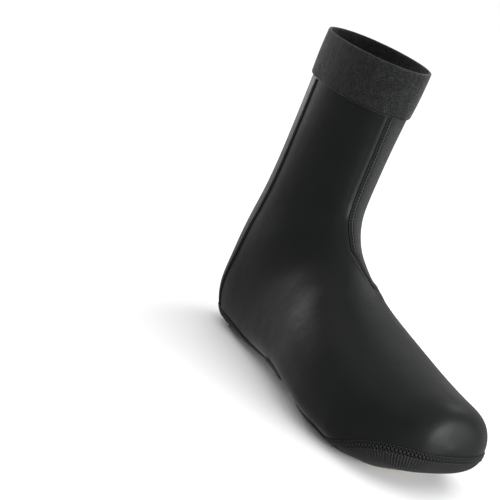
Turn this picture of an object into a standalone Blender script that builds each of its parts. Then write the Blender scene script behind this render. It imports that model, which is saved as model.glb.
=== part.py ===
"""Cycling overshoe: a neoprene cover for the right foot, worn over a cleated shoe.

The cover is a hollow wall in the shape of a shoe and ankle. Underneath it has a toe sole, a heel
sole, a long opening for the cleat and the heel pad, taped edges and one strap across the arch.
Lengths are metres. +X points to the toe, +Y to the inner (medial) side, +Z up, with the origin on
the floor at the middle of the cover's length and width.
"""
import math

import bmesh
import bpy
import numpy as np
from mathutils import Vector

# Driving sizes of the cover as it stands, worn form.
LENGTH = 0.290
BALL_WIDTH = 0.111
HEEL_WIDTH = 0.063
TOE_HEIGHT = 0.067
TOE_SPRING = 0.036
ARCH_RISE = 0.007
INSTEP_HEIGHT = 0.094
HEEL_HEIGHT = 0.048
SHAFT_HEIGHT = 0.246
COLLAR_DEPTH = 0.100
COLLAR_WIDTH = 0.060
SHAFT_LEAN_DEG = 3.0
LEAN_START_SHARE = 0.9

# Walls, tapes and clearances.
WALL = 0.003
SOLE_WALL = 0.0022
CUFF_HEIGHT = 0.036
CUFF_LAP = 0.009
CUFF_PROUD = 0.0019
CUFF_RIM = 0.0021
CUFF_ROUNDING = 0.0006
CUFF_CORNER = 0.0011
TAPE_PROUD = 0.0014
TAPE_WIDTH = 0.0075
SEAM_PROUD = 0.0009
SEAM_WIDTH = 0.0045
STRAP_WIDTH = 0.030
STRAP_PROUD = 0.0020
STRAP_MIDDLE_SHARE = 0.438
STRAP_SIDE_HEIGHT = 0.014
PATCH_LENGTH = 0.022
PATCH_WIDTH = 0.056
PATCH_PROUD = 0.0008
GAP = 0.0003
FLAT_DEPTH = 0.0010
ZONE_DEPTH = 0.006
SIDE_REACH = 0.090
FLOOR_REACH = -0.030
SOLE_CUT_TOP = 0.030
TAPED_CUT_TOP = 0.020
BINDING_CUT_TOP = 0.018

# Heights on the shaft that follow from these sizes.
CUFF_FOOT = SHAFT_HEIGHT - CUFF_HEIGHT
WALL_TOP = CUFF_FOOT + CUFF_LAP

# Sections from the toe tip back to the ball. The sole point and the top point end each section.
# sole_x and top_x are shares of LENGTH, sole_z of TOE_SPRING, top_z of TOE_HEIGHT, lateral and
# medial of BALL_WIDTH. belly is the share of the section's height where it is widest.
TOE_COLUMNS = ("sole_x", "sole_z", "top_x", "top_z", "lateral", "medial", "belly")
TOE_SECTIONS = (
    (1.000, 1.00, 1.000, 0.570, 0.014, 0.014, 0.50),
    (0.995, 0.77, 0.986, 0.830, 0.135, 0.225, 0.42),
    (0.979, 0.54, 0.965, 0.945, 0.220, 0.335, 0.38),
    (0.952, 0.36, 0.934, 0.990, 0.304, 0.430, 0.37),
    (0.907, 0.22, 0.886, 1.000, 0.386, 0.476, 0.35),
    (0.848, 0.02, 0.821, 1.035, 0.436, 0.500, 0.33),
    (0.779, 0.00, 0.755, 1.090, 0.492, 0.496, 0.31),
)

# Sections over the arch: sole_z is a share of ARCH_RISE, top_z of INSTEP_HEIGHT.
ARCH_COLUMNS = TOE_COLUMNS
ARCH_SECTIONS = (
    (0.707, 0.00, 0.686, 0.828, 0.500, 0.478, 0.31),
    (0.621, 0.30, 0.614, 0.883, 0.490, 0.450, 0.31),
    (0.524, 0.80, 0.552, 0.941, 0.455, 0.400, 0.32),
    (0.428, 1.00, 0.506, 1.012, 0.375, 0.350, 0.34),
)

# Sections that fan round the ankle: sole_z is a share of HEEL_HEIGHT, top_z of INSTEP_HEIGHT,
# lateral and medial of HEEL_WIDTH.
HEEL_COLUMNS = TOE_COLUMNS
HEEL_SECTIONS = (
    (0.331, 0.100, 0.474, 1.065, 0.585, 0.545, 0.37),
    (0.234, 0.035, 0.446, 1.125, 0.525, 0.505, 0.40),
    (0.145, 0.000, 0.423, 1.180, 0.470, 0.480, 0.42),
    (0.076, 0.012, 0.407, 1.230, 0.460, 0.470, 0.45),
    (0.027, 0.180, 0.394, 1.275, 0.475, 0.475, 0.48),
    (0.001, 0.520, 0.383, 1.315, 0.480, 0.480, 0.50),
    (0.000, 1.000, 0.374, 1.360, 0.472, 0.472, 0.50),
)

# Sections up the shaft: back_climb and front_climb are the share of the way from the last ankle
# section to the collar, back_x and front_x shares of COLLAR_DEPTH from the heel's back, and
# half_width a share of COLLAR_WIDTH.
SHAFT_COLUMNS = ("back_climb", "front_climb", "back_x", "front_x", "half_width")
SHAFT_SECTIONS = (
    (0.180, 0.065, 0.026, 1.064, 0.470),
    (0.315, 0.150, 0.070, 1.055, 0.466),
    (0.477, 0.270, 0.092, 1.052, 0.470),
    (0.652, 0.440, 0.094, 1.055, 0.475),
    (0.826, 0.690, 0.086, 1.075, 0.480),
    (1.000, 1.000, 0.082, 1.099, 0.484),
)

# Roundness of a section: the power of its curve above the widest line, below it in the foot, and
# below it up the shaft. The foot's power gives way to the shaft's over the last few sections.
TOP_POWER = 2.1
SOLE_POWER = 3.0
SHAFT_POWER = 2.1
EASING_SECTIONS = 4.0

# The opening underneath, from the ball to the heel: x is a share of LENGTH and the two half
# widths are shares of BALL_WIDTH.
OPENING_COLUMNS = ("x", "lateral", "medial")
OPENING_ROWS = (
    (0.800, 0.000, 0.000),
    (0.796, 0.190, 0.190),
    (0.782, 0.290, 0.290),
    (0.757, 0.365, 0.365),
    (0.710, 0.385, 0.375),
    (0.650, 0.355, 0.345),
    (0.590, 0.300, 0.285),
    (0.530, 0.240, 0.230),
    (0.470, 0.185, 0.185),
    (0.390, 0.160, 0.160),
    (0.250, 0.158, 0.158),
    (0.180, 0.150, 0.150),
    (0.145, 0.118, 0.118),
    (0.127, 0.066, 0.066),
    (0.120, 0.000, 0.000),
)

# Height of the seam over the toe sole and over the heel sole: x is a share of LENGTH, z of
# TOE_SPRING and of HEEL_HEIGHT.
SEAM_COLUMNS = ("x", "z")
TOE_SEAM = (
    (0.738, 0.14),
    (0.790, 0.22),
    (0.841, 0.39),
    (0.886, 0.62),
    (0.931, 0.78),
    (0.976, 0.86),
    (1.070, 0.91),
)
HEEL_SEAM = (
    (-0.050, 0.215),
    (0.120, 0.205),
    (0.190, 0.185),
    (0.262, 0.140),
)

# The ankle panel's two edges: climb is the share of the way from its tip on the instep to the
# cuff, and the angles are measured round the section from the top line to the medial side.
PANEL_TIP_SECTION = 9.9
PANEL_COLUMNS = ("climb", "front_deg", "medial_deg")
PANEL_ROWS = (
    (0.00, 14.0, 20.0),
    (0.05, 11.0, 30.0),
    (0.14, 5.5, 39.0),
    (0.19, 1.8, 43.5),
    (0.24, -1.8, 47.0),
    (0.40, -3.0, 56.0),
    (0.62, -3.0, 62.0),
    (0.90, -4.0, 67.0),
    (1.00, -8.0, 69.0),
)

# The raised seam down the rear of the lateral side, from the cuff to the heel sole.
REAR_SEAM_FOOT_SECTION = 14.35
REAR_SEAM_COLUMNS = ("climb", "angle_deg")
REAR_SEAM_ROWS = (
    (0.00, -140.0),
    (0.07, -134.0),
    (0.14, -128.0),
    (0.21, -122.0),
    (0.30, -117.5),
    (0.42, -115.0),
    (1.00, -115.0),
)

# Mesh steps of the shell: slices between two neighbouring sections, points round each one, and
# the thinnest slice left below the top.
SLICES_PER_SECTION = 2
POINTS_ROUND = 28
LEAST_SLICE = 0.15
ZONE_SLICES = 15
PATCH_POINTS = 21
SHARP_DEG = 40.0

# Small steps for slopes: in sections and radians, wider ones for speeds, and the section nearest
# the toe tip at which a slope is still taken.
SLOPE_STEP = 1.0e-3
SPEED_STEP = 0.02
TIP_SECTION = 0.02

# The seam's inner edge starts this share of the panel's height above the panel's tip.
SEAM_INNER_START = 0.07

# Base colour and roughness of each piece.
FINISHES = {
    "upper": ((0.018, 0.020, 0.020), 0.50),
    "ankle_panel": ((0.045, 0.050, 0.049), 0.85),
    "ankle_seam": ((0.008, 0.008, 0.008), 0.80),
    "rear_seam": ((0.008, 0.008, 0.008), 0.80),
    "cuff": ((0.040, 0.042, 0.042), 0.90),
    "toe_sole": ((0.022, 0.023, 0.024), 0.75),
    "toe_patch": ((0.215, 0.190, 0.140), 0.90),
    "heel_sole": ((0.022, 0.023, 0.024), 0.75),
    "cleat_binding": ((0.015, 0.015, 0.014), 0.80),
    "heel_binding": ((0.015, 0.015, 0.014), 0.80),
    "arch_strap": ((0.013, 0.013, 0.013), 0.75),
}


def column(rows, names, name):
    """One named column of a table as an array."""
    place = names.index(name)
    return np.array([row[place] for row in rows], dtype=float)


def section_table():
    """Every section of the last as rows of metres: sole x and z, top x and z, two half widths, belly."""
    blocks = []
    groups = (
        (TOE_SECTIONS, TOE_COLUMNS, TOE_SPRING, TOE_HEIGHT, BALL_WIDTH),
        (ARCH_SECTIONS, ARCH_COLUMNS, ARCH_RISE, INSTEP_HEIGHT, BALL_WIDTH),
        (HEEL_SECTIONS, HEEL_COLUMNS, HEEL_HEIGHT, INSTEP_HEIGHT, HEEL_WIDTH),
    )
    for rows, names, sole_size, top_size, width in groups:
        blocks.append(np.stack([
            column(rows, names, "sole_x") * LENGTH,
            column(rows, names, "sole_z") * sole_size,
            column(rows, names, "top_x") * LENGTH,
            column(rows, names, "top_z") * top_size,
            column(rows, names, "lateral") * width,
            column(rows, names, "medial") * width,
            column(rows, names, "belly"),
        ], axis=1))
    ankle = blocks[-1][-1]
    back_climb = column(SHAFT_SECTIONS, SHAFT_COLUMNS, "back_climb")
    front_climb = column(SHAFT_SECTIONS, SHAFT_COLUMNS, "front_climb")
    half_width = column(SHAFT_SECTIONS, SHAFT_COLUMNS, "half_width") * COLLAR_WIDTH
    blocks.append(np.stack([
        column(SHAFT_SECTIONS, SHAFT_COLUMNS, "back_x") * COLLAR_DEPTH,
        ankle[1] + back_climb * (SHAFT_HEIGHT - ankle[1]),
        column(SHAFT_SECTIONS, SHAFT_COLUMNS, "front_x") * COLLAR_DEPTH,
        ankle[3] + front_climb * (SHAFT_HEIGHT - ankle[3]),
        half_width,
        half_width,
        np.full(len(SHAFT_SECTIONS), 0.5),
    ], axis=1))
    return np.concatenate(blocks)


SECTIONS = section_table()
LAST_SECTION = len(SECTIONS) - 1
FIRST_SHAFT_SECTION = len(SECTIONS) - len(SHAFT_SECTIONS)


def smooth_rows(places):
    """Section values between the rows: a cubic through the rows that never overshoots them."""
    steps = np.diff(SECTIONS, axis=0)
    slopes = np.zeros_like(SECTIONS)
    same_way = steps[:-1] * steps[1:] > 0.0
    total = np.where(same_way, steps[:-1] + steps[1:], 1.0)
    slopes[1:-1] = np.where(same_way, 2.0 * steps[:-1] * steps[1:] / total, 0.0)
    slopes[0] = steps[0]
    slopes[-1] = steps[-1]
    low = np.clip(np.floor(places).astype(int), 0, LAST_SECTION - 1)
    part = (places - low)[..., None]
    rise = steps[low]
    start = slopes[low]
    end = slopes[low + 1]
    cubic = start + end - 2.0 * rise
    square = 3.0 * rise - 2.0 * start - end
    return SECTIONS[low] + start * part + square * part ** 2 + cubic * part ** 3


def last_surface(places, angles):
    """Points of the outer surface at section places and angles round them, in radians.

    Angle 0 is the top line, pi the sole line, and positive angles are on the medial side. Each
    section is two half ovals of different power that meet at its widest line.
    """
    rows = smooth_rows(places)
    sole_x, sole_z, top_x, top_z, lateral, medial, belly = np.moveaxis(rows, -1, 0)
    up = np.cos(angles)
    side = np.sin(angles)
    climb = np.clip((places - FIRST_SHAFT_SECTION) / EASING_SECTIONS + 1.0, 0.0, 1.0)
    low_power = SOLE_POWER + (SHAFT_POWER - SOLE_POWER) * climb
    power = np.where(up >= 0.0, TOP_POWER, low_power)
    reach = np.abs(up) ** (2.0 / power)
    share = np.where(up >= 0.0, belly + (1.0 - belly) * reach, belly - belly * reach)
    width = np.where(side >= 0.0, medial, lateral)
    x = sole_x + (top_x - sole_x) * share - LENGTH / 2.0
    z = sole_z + (top_z - sole_z) * share
    y = np.sign(side) * width * np.abs(side) ** (2.0 / power)
    lean_start = INSTEP_HEIGHT * LEAN_START_SHARE
    y = y + math.tan(math.radians(SHAFT_LEAN_DEG)) * np.maximum(z - lean_start, 0.0)
    z = z + TAPE_PROUD - FLAT_DEPTH
    return np.stack([x, y, z], axis=-1)


def surface(places, angles, out):
    """Points a distance `out` outside the outer surface along its normal, flat where it rests."""
    places = np.asarray(places, dtype=float)
    angles = np.asarray(angles, dtype=float)
    places, angles, out = np.broadcast_arrays(places, angles, np.asarray(out, dtype=float))
    here = np.maximum(places, TIP_SECTION)
    fore = np.clip(places - SLOPE_STEP, TIP_SECTION, LAST_SECTION)
    aft = np.clip(places + SLOPE_STEP, TIP_SECTION + SLOPE_STEP, LAST_SECTION)
    along = last_surface(aft, angles) - last_surface(fore, angles)
    around = last_surface(here, angles + SLOPE_STEP) - last_surface(here, angles - SLOPE_STEP)
    normal = np.cross(around, along)
    normal = normal / np.linalg.norm(normal, axis=-1, keepdims=True)
    points = last_surface(places, angles)
    points = points + normal * out[..., None]
    points[..., 2] = np.maximum(points[..., 2], TAPE_PROUD - out)
    return points


def section_at_height(height):
    """The section place on the shaft whose middle is at a height above the floor."""
    places = np.linspace(FIRST_SHAFT_SECTION, LAST_SECTION, 400)
    rows = smooth_rows(places)
    middle = (rows[:, 1] + rows[:, 3]) / 2.0
    return float(np.interp(height, middle, places))


def new_object(name, mesh, where):
    """An object for a mesh in a collection, shaded smooth with its sharp edges kept."""
    mesh.shade_smooth()
    mesh.set_sharp_from_angle(angle=math.radians(SHARP_DEG))
    item = bpy.data.objects.new(name, mesh)
    where.objects.link(item)
    return item


def mesh_from_grid(name, grid, closed_ends):
    """A closed mesh from a grid of points that is joined round its second direction.

    With closed_ends the first and last rows are capped by a fan, otherwise the rows join as a ring.
    """
    rows, around = grid.shape[:2]
    index = np.arange(rows * around).reshape(rows, around)
    faces = []
    row_pairs = rows - 1 if closed_ends else rows
    for row in range(row_pairs):
        near = index[row]
        far = index[(row + 1) % rows]
        for step in range(around):
            after = (step + 1) % around
            faces.append((near[step], near[after], far[after], far[step]))
    points = [tuple(point) for point in grid.reshape(-1, 3)]
    if closed_ends:
        for row, turn in ((0, -1), (rows - 1, 1)):
            points.append(tuple(grid[row].mean(axis=0)))
            centre = len(points) - 1
            for step in range(around):
                pair = (index[row][step], index[row][(step + 1) % around])
                faces.append((centre, *pair[::turn]))
    mesh = bpy.data.meshes.new(name)
    mesh.from_pydata(points, [], [tuple(int(corner) for corner in face) for face in faces])
    face_outwards(mesh)
    return mesh


def face_outwards(mesh):
    """Split a closed mesh into flat triangles, and turn each so that its normal points out."""
    work = bmesh.new()
    work.from_mesh(mesh)
    bmesh.ops.triangulate(work, faces=work.faces)
    bmesh.ops.recalc_face_normals(work, faces=work.faces)
    work.to_mesh(mesh)
    work.free()
    mesh.validate()


def shell(name, outer, inner, top_height, where):
    """The wall of the last between two distances from its surface, from the toe to a height."""
    top = section_at_height(top_height)
    whole = np.arange(0.0, top, 1.0 / SLICES_PER_SECTION)
    places = np.append(whole[whole < top - LEAST_SLICE], top)
    angles = np.linspace(0.0, 2.0 * math.pi, POINTS_ROUND, endpoint=False)
    outside = surface(places[:, None], angles[None, :], outer)
    inside = surface(places[:, None], angles[None, :], inner)
    grid = np.concatenate([outside, inside[::-1]])
    return new_object(name, mesh_from_grid(name, grid, True), where)


def slab(name, places, angles, depth, where):
    """A thick patch that straddles the surface: a closed solid over a grid of places and angles."""
    outside = surface(places, angles, depth)
    inside = surface(places, angles, -depth)
    loops = np.concatenate([outside, inside[:, ::-1]], axis=1)
    rows, around = loops.shape[:2]
    mesh = bpy.data.meshes.new(name)
    points = [tuple(point) for point in loops.reshape(-1, 3)]
    faces = []
    for row in range(rows - 1):
        for step in range(around):
            after = (step + 1) % around
            near = row * around
            far = near + around
            faces.append((near + step, near + after, far + after, far + step))
    wide = around // 2
    for row in (0, rows - 1):
        base = row * around
        for step in range(wide - 1):
            mirror = around - 1 - step
            faces.append((base + step, base + step + 1, base + mirror - 1, base + mirror))
    mesh.from_pydata(points, [], faces)
    face_outwards(mesh)
    return new_object(name, mesh, where)


def prism(name, outline, plane, low, high, where):
    """A flat outline carried straight along the third axis: plane is "xy" or "xz"."""
    work = bmesh.new()
    corners = []
    for first, second in outline:
        place = (first, second, low) if plane == "xy" else (first, low, second)
        corners.append(work.verts.new(place))
    base = work.faces.new(corners)
    grown = bmesh.ops.extrude_face_region(work, geom=[base])
    moved = [item for item in grown["geom"] if isinstance(item, bmesh.types.BMVert)]
    travel = Vector((0.0, 0.0, high - low)) if plane == "xy" else Vector((0.0, high - low, 0.0))
    bmesh.ops.translate(work, verts=moved, vec=travel)
    bmesh.ops.recalc_face_normals(work, faces=work.faces)
    mesh = bpy.data.meshes.new(name)
    work.to_mesh(mesh)
    work.free()
    return new_object(name, mesh, where)


def cut(item, cutter, operation):
    """Add a Boolean of a cutter to an object."""
    step = item.modifiers.new(cutter.name, "BOOLEAN")
    step.operation = operation
    step.solver = "EXACT"
    step.object = cutter


def finish(item):
    """Give an object its own Principled material, with its colour and roughness."""
    colour, roughness = FINISHES[item.name]
    paint = bpy.data.materials.new(item.name + "_finish")
    paint.use_nodes = True
    shader = paint.node_tree.nodes["Principled BSDF"]
    shader.inputs["Base Color"].default_value = (*colour, 1.0)
    shader.inputs["Roughness"].default_value = roughness
    shader.inputs["Metallic"].default_value = 0.0
    item.data.materials.append(paint)


def fresh_collection(name):
    """A new collection in the scene."""
    made = bpy.data.collections.new(name)
    bpy.context.scene.collection.children.link(made)
    return made


def rounded(loop):
    """A closed loop of points with its corners cut: each side gives its quarter and its middle."""
    following = np.roll(loop, -1, axis=0)
    cut_loop = np.stack([loop * 0.75 + following * 0.25, loop * 0.25 + following * 0.75], axis=1)
    return cut_loop.reshape(-1, 2)


def opening_outline(margin):
    """The opening's outline in plan, moved outwards by a margin, lateral side first."""
    x = column(OPENING_ROWS, OPENING_COLUMNS, "x") * LENGTH - LENGTH / 2.0
    lateral = -column(OPENING_ROWS, OPENING_COLUMNS, "lateral") * BALL_WIDTH
    medial = column(OPENING_ROWS, OPENING_COLUMNS, "medial") * BALL_WIDTH
    corners = np.concatenate([np.stack([x, lateral], axis=1), np.stack([x, medial], axis=1)[-2:0:-1]])
    loop = rounded(corners)
    ahead = np.roll(loop, -1, axis=0) - loop
    behind = loop - np.roll(loop, 1, axis=0)
    ahead = ahead / np.linalg.norm(ahead, axis=1, keepdims=True)
    behind = behind / np.linalg.norm(behind, axis=1, keepdims=True)
    tangent = ahead + behind
    tangent = tangent / np.linalg.norm(tangent, axis=1, keepdims=True)
    outwards = np.stack([tangent[:, 1], -tangent[:, 0]], axis=1)
    facing = np.sum(outwards * (loop - loop.mean(axis=0)), axis=1).mean()
    return loop + outwards * math.copysign(margin, facing) if margin else loop


def seam_profile(rows, z_size, reach_x, open_end, shift):
    """A side outline that takes in everything below a seam, moved outwards by a shift.

    reach_x is the far end beyond the toe or the heel, and open_end the end on the sole.
    """
    x = column(rows, SEAM_COLUMNS, "x") * LENGTH - LENGTH / 2.0
    z = column(rows, SEAM_COLUMNS, "z") * z_size + shift
    away = math.copysign(shift, open_end - reach_x)
    x[np.argmin(np.abs(x - open_end))] += away
    top = [(float(across), float(up)) for across, up in zip(x, z)]
    return top + [(top[-1][0], FLOOR_REACH), (top[0][0], FLOOR_REACH)]


def patch_outline():
    """The half-oval patch in plan: it starts under the tape at the opening's front edge."""
    opening_front = OPENING_ROWS[0][0] * LENGTH - LENGTH / 2.0
    back = opening_front - TAPE_WIDTH
    front = opening_front + TAPE_WIDTH + GAP + PATCH_LENGTH
    turns = np.linspace(-math.pi / 2.0, math.pi / 2.0, PATCH_POINTS)
    x = back + (front - back) * np.cos(turns)
    y = PATCH_WIDTH / 2.0 * np.sin(turns)
    return [(float(along), float(across)) for along, across in zip(x, y)]


def box(name, back, front, top, where):
    """A block across the whole width, from below the floor to a height, between two places on X."""
    outline = ((back, FLOOR_REACH), (front, FLOOR_REACH), (front, top), (back, top))
    return prism(name, outline, "xz", -SIDE_REACH, SIDE_REACH, where)


def panel_zone(name, margin, top_height, where):
    """A slab over the ankle panel, its edges moved outwards by a margin."""
    cuff_section = section_at_height(top_height)
    climb = column(PANEL_ROWS, PANEL_COLUMNS, "climb")
    span = cuff_section - PANEL_TIP_SECTION
    start = SEAM_INNER_START if margin < 0.0 else 0.0
    fine = np.linspace(start, 1.0, ZONE_SLICES)
    places = PANEL_TIP_SECTION + fine * span
    front = np.radians(np.interp(fine, climb, column(PANEL_ROWS, PANEL_COLUMNS, "front_deg")))
    medial = np.radians(np.interp(fine, climb, column(PANEL_ROWS, PANEL_COLUMNS, "medial_deg")))
    front = front - margin / turn_speed(places, front)
    medial = medial + margin / turn_speed(places, medial)
    places[0] -= max(margin, 0.0) / climb_speed(places[:1], front[:1])[0]
    across = np.linspace(0.0, 1.0, 4)[None, :]
    angles = front[:, None] * (1.0 - across) + medial[:, None] * across
    return slab(name, np.broadcast_to(places[:, None], angles.shape), angles, ZONE_DEPTH, where)


def turn_speed(places, angles):
    """Metres along the surface for each radian round the section."""
    gap = last_surface(places, angles + SPEED_STEP) - last_surface(places, angles - SPEED_STEP)
    return np.linalg.norm(gap, axis=-1) / (2.0 * SPEED_STEP)


def climb_speed(places, angles):
    """Metres along the surface for each section climbed."""
    gap = last_surface(places + SPEED_STEP, angles) - last_surface(places - SPEED_STEP, angles)
    return np.linalg.norm(gap, axis=-1) / (2.0 * SPEED_STEP)


def rear_seam_zone(name, top_height, where):
    """A slab over the raised seam down the rear of the lateral side."""
    cuff_section = section_at_height(top_height)
    climb = column(REAR_SEAM_ROWS, REAR_SEAM_COLUMNS, "climb")
    fine = np.linspace(0.0, 1.0, ZONE_SLICES)
    places = REAR_SEAM_FOOT_SECTION + fine * (cuff_section - REAR_SEAM_FOOT_SECTION)
    middle = np.radians(np.interp(fine, climb, column(REAR_SEAM_ROWS, REAR_SEAM_COLUMNS, "angle_deg")))
    half = SEAM_WIDTH / 2.0 / turn_speed(places, middle)
    angles = middle[:, None] + half[:, None] * np.array([-1.0, 0.0, 1.0])[None, :]
    return slab(name, np.broadcast_to(places[:, None], angles.shape), angles, ZONE_DEPTH, where)


def build_cuff(where):
    """The doubled band round the top: a stepped profile carried round the shaft's own section."""
    foot = section_at_height(CUFF_FOOT)
    lap = section_at_height(WALL_TOP + GAP)
    top = section_at_height(SHAFT_HEIGHT)
    foot_corner = section_at_height(CUFF_FOOT + CUFF_CORNER)
    middle = section_at_height((CUFF_FOOT + SHAFT_HEIGHT) / 2.0)
    top_corner = section_at_height(SHAFT_HEIGHT - CUFF_CORNER)
    rim_out = CUFF_PROUD - CUFF_RIM
    profile = (
        (foot, GAP),
        (foot, CUFF_PROUD - CUFF_ROUNDING),
        (foot_corner, CUFF_PROUD),
        (middle, CUFF_PROUD),
        (top_corner, CUFF_PROUD),
        (top, CUFF_PROUD - CUFF_ROUNDING),
        (top, rim_out + CUFF_ROUNDING),
        (top_corner, rim_out),
        (lap, rim_out),
        (lap, GAP),
    )
    angles = np.linspace(0.0, 2.0 * math.pi, POINTS_ROUND, endpoint=False)
    rows = [surface(np.full(POINTS_ROUND, place), angles, out) for place, out in profile]
    return new_object("cuff", mesh_from_grid("cuff", np.stack(rows), False), where)


def build():
    """Model every piece of the cover."""
    for old in list(bpy.data.objects):
        bpy.data.objects.remove(old, do_unlink=True)
    parts = fresh_collection("cycling_overshoe")
    cutters = fresh_collection("cutters")

    opening = prism("opening_zone", opening_outline(0.0), "xy", FLOOR_REACH, SOLE_CUT_TOP, cutters)
    taped = prism("taped_zone", opening_outline(TAPE_WIDTH), "xy", FLOOR_REACH, TAPED_CUT_TOP, cutters)
    taped_clear = prism("taped_clear", opening_outline(TAPE_WIDTH + GAP), "xy",
                        FLOOR_REACH, SOLE_CUT_TOP, cutters)

    toe_end = (TOE_SEAM[0][0] - 0.5) * LENGTH
    heel_end = (HEEL_SEAM[-1][0] - 0.5) * LENGTH
    side = (-SIDE_REACH, SIDE_REACH)
    toe_zone = prism("toe_zone", seam_profile(TOE_SEAM, TOE_SPRING, LENGTH, toe_end, 0.0),
                     "xz", *side, cutters)
    toe_clear = prism("toe_clear", seam_profile(TOE_SEAM, TOE_SPRING, LENGTH, toe_end, GAP),
                      "xz", *side, cutters)
    heel_zone = prism("heel_zone", seam_profile(HEEL_SEAM, HEEL_HEIGHT, -LENGTH, heel_end, 0.0),
                      "xz", *side, cutters)
    heel_clear = prism("heel_clear", seam_profile(HEEL_SEAM, HEEL_HEIGHT, -LENGTH, heel_end, GAP),
                       "xz", *side, cutters)

    panel_top = CUFF_FOOT + CUFF_LAP / 2.0
    panel = panel_zone("panel_zone", 0.0, panel_top, cutters)
    panel_clear = panel_zone("panel_clear", GAP, panel_top + GAP, cutters)
    seam_outer = panel_zone("seam_outer", SEAM_WIDTH / 2.0, CUFF_FOOT - GAP, cutters)
    seam_inner = panel_zone("seam_inner", -SEAM_WIDTH / 2.0, CUFF_FOOT + GAP, cutters)
    rear_zone = rear_seam_zone("rear_zone", CUFF_FOOT - GAP, cutters)

    upper = shell("upper", 0.0, -WALL, WALL_TOP, parts)
    for cutter in (opening, toe_clear, heel_clear, panel_clear):
        cut(upper, cutter, "DIFFERENCE")
    finish(upper)

    ankle_panel = shell("ankle_panel", 0.0, -WALL, WALL_TOP, parts)
    cut(ankle_panel, panel, "INTERSECT")
    finish(ankle_panel)

    ankle_seam = shell("ankle_seam", SEAM_PROUD, GAP, WALL_TOP, parts)
    cut(ankle_seam, seam_outer, "INTERSECT")
    cut(ankle_seam, seam_inner, "DIFFERENCE")
    finish(ankle_seam)

    rear_seam = shell("rear_seam", SEAM_PROUD, GAP, WALL_TOP, parts)
    cut(rear_seam, rear_zone, "INTERSECT")
    finish(rear_seam)

    cuff = build_cuff(parts)
    finish(cuff)

    toe_sole = shell("toe_sole", 0.0, -SOLE_WALL, WALL_TOP, parts)
    cut(toe_sole, toe_zone, "INTERSECT")
    cut(toe_sole, opening, "DIFFERENCE")
    finish(toe_sole)

    heel_sole = shell("heel_sole", 0.0, -SOLE_WALL, WALL_TOP, parts)
    cut(heel_sole, heel_zone, "INTERSECT")
    cut(heel_sole, opening, "DIFFERENCE")
    finish(heel_sole)

    middle = (STRAP_MIDDLE_SHARE - 0.5) * LENGTH
    strap_zone = box("strap_zone", middle - STRAP_WIDTH / 2.0, middle + STRAP_WIDTH / 2.0,
                     STRAP_SIDE_HEIGHT, cutters)
    cleat_side = box("cleat_side", middle + STRAP_WIDTH / 2.0 + GAP, LENGTH, BINDING_CUT_TOP, cutters)
    heel_side = box("heel_side", -LENGTH, middle - STRAP_WIDTH / 2.0 - GAP, BINDING_CUT_TOP, cutters)

    cleat_binding = shell("cleat_binding", TAPE_PROUD, GAP, WALL_TOP, parts)
    cut(cleat_binding, taped, "INTERSECT")
    cut(cleat_binding, opening, "DIFFERENCE")
    cut(cleat_binding, cleat_side, "INTERSECT")
    finish(cleat_binding)

    heel_binding = shell("heel_binding", TAPE_PROUD, GAP, WALL_TOP, parts)
    cut(heel_binding, taped, "INTERSECT")
    cut(heel_binding, opening, "DIFFERENCE")
    cut(heel_binding, heel_side, "INTERSECT")
    finish(heel_binding)

    arch_strap = shell("arch_strap", STRAP_PROUD, GAP, WALL_TOP, parts)
    cut(arch_strap, strap_zone, "INTERSECT")
    finish(arch_strap)

    patch_zone = prism("patch_zone", patch_outline(), "xy", FLOOR_REACH, BINDING_CUT_TOP, cutters)
    toe_patch = shell("toe_patch", PATCH_PROUD, GAP, WALL_TOP, parts)
    cut(toe_patch, patch_zone, "INTERSECT")
    cut(toe_patch, taped_clear, "DIFFERENCE")
    finish(toe_patch)

    for cutter in cutters.objects:
        cutter.hide_render = True
        cutter.display_type = "WIRE"


build()
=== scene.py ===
"""Studio scene of a neoprene cycling overshoe for the right foot, standing empty on its sole.

Lengths are metres in the frame of the CAD: +X to the toe, +Y to the inner (medial) side, +Z up.
"""

import math

import bmesh
import bpy
import numpy as np
from mathutils import Matrix, Vector


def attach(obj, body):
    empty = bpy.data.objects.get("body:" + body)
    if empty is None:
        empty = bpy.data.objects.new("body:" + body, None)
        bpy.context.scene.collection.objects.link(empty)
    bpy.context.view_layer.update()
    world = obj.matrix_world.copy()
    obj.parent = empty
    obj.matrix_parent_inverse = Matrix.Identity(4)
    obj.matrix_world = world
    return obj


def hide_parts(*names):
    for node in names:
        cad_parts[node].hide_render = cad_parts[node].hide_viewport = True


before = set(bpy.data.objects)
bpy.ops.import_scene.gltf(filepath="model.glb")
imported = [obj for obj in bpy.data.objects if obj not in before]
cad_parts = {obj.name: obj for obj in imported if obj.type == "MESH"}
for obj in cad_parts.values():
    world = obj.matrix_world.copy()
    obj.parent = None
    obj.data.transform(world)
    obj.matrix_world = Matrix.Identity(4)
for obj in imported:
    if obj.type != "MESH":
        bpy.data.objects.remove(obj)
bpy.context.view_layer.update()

# Neoprene upper.
# The wall of the cover: 3 mm smooth-skin neoprene, cut and sewn to the shape of a shoe and an
# ankle. It is open at the collar and underneath, where the soles, tapes and strap are sewn on.
LENGTH = 0.290
BALL_WIDTH = 0.111
HEEL_WIDTH = 0.063
TOE_HEIGHT = 0.067
TOE_SPRING = 0.036
ARCH_RISE = 0.007
INSTEP_HEIGHT = 0.094
HEEL_HEIGHT = 0.048
SHAFT_HEIGHT = 0.246
COLLAR_DEPTH = 0.100
COLLAR_WIDTH = 0.060
SHAFT_LEAN_DEG = 3.0
LEAN_START_SHARE = 0.9
WALL = 0.003
CUFF_HEIGHT = 0.036
CUFF_LAP = 0.009
CUFF_FOOT = SHAFT_HEIGHT - CUFF_HEIGHT
WALL_TOP = CUFF_FOOT + CUFF_LAP
TAPE_PROUD = 0.0014
FLAT_DEPTH = 0.0010
GAP = 0.0003
TOP_POWER = 2.1
SOLE_POWER = 3.0
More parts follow.
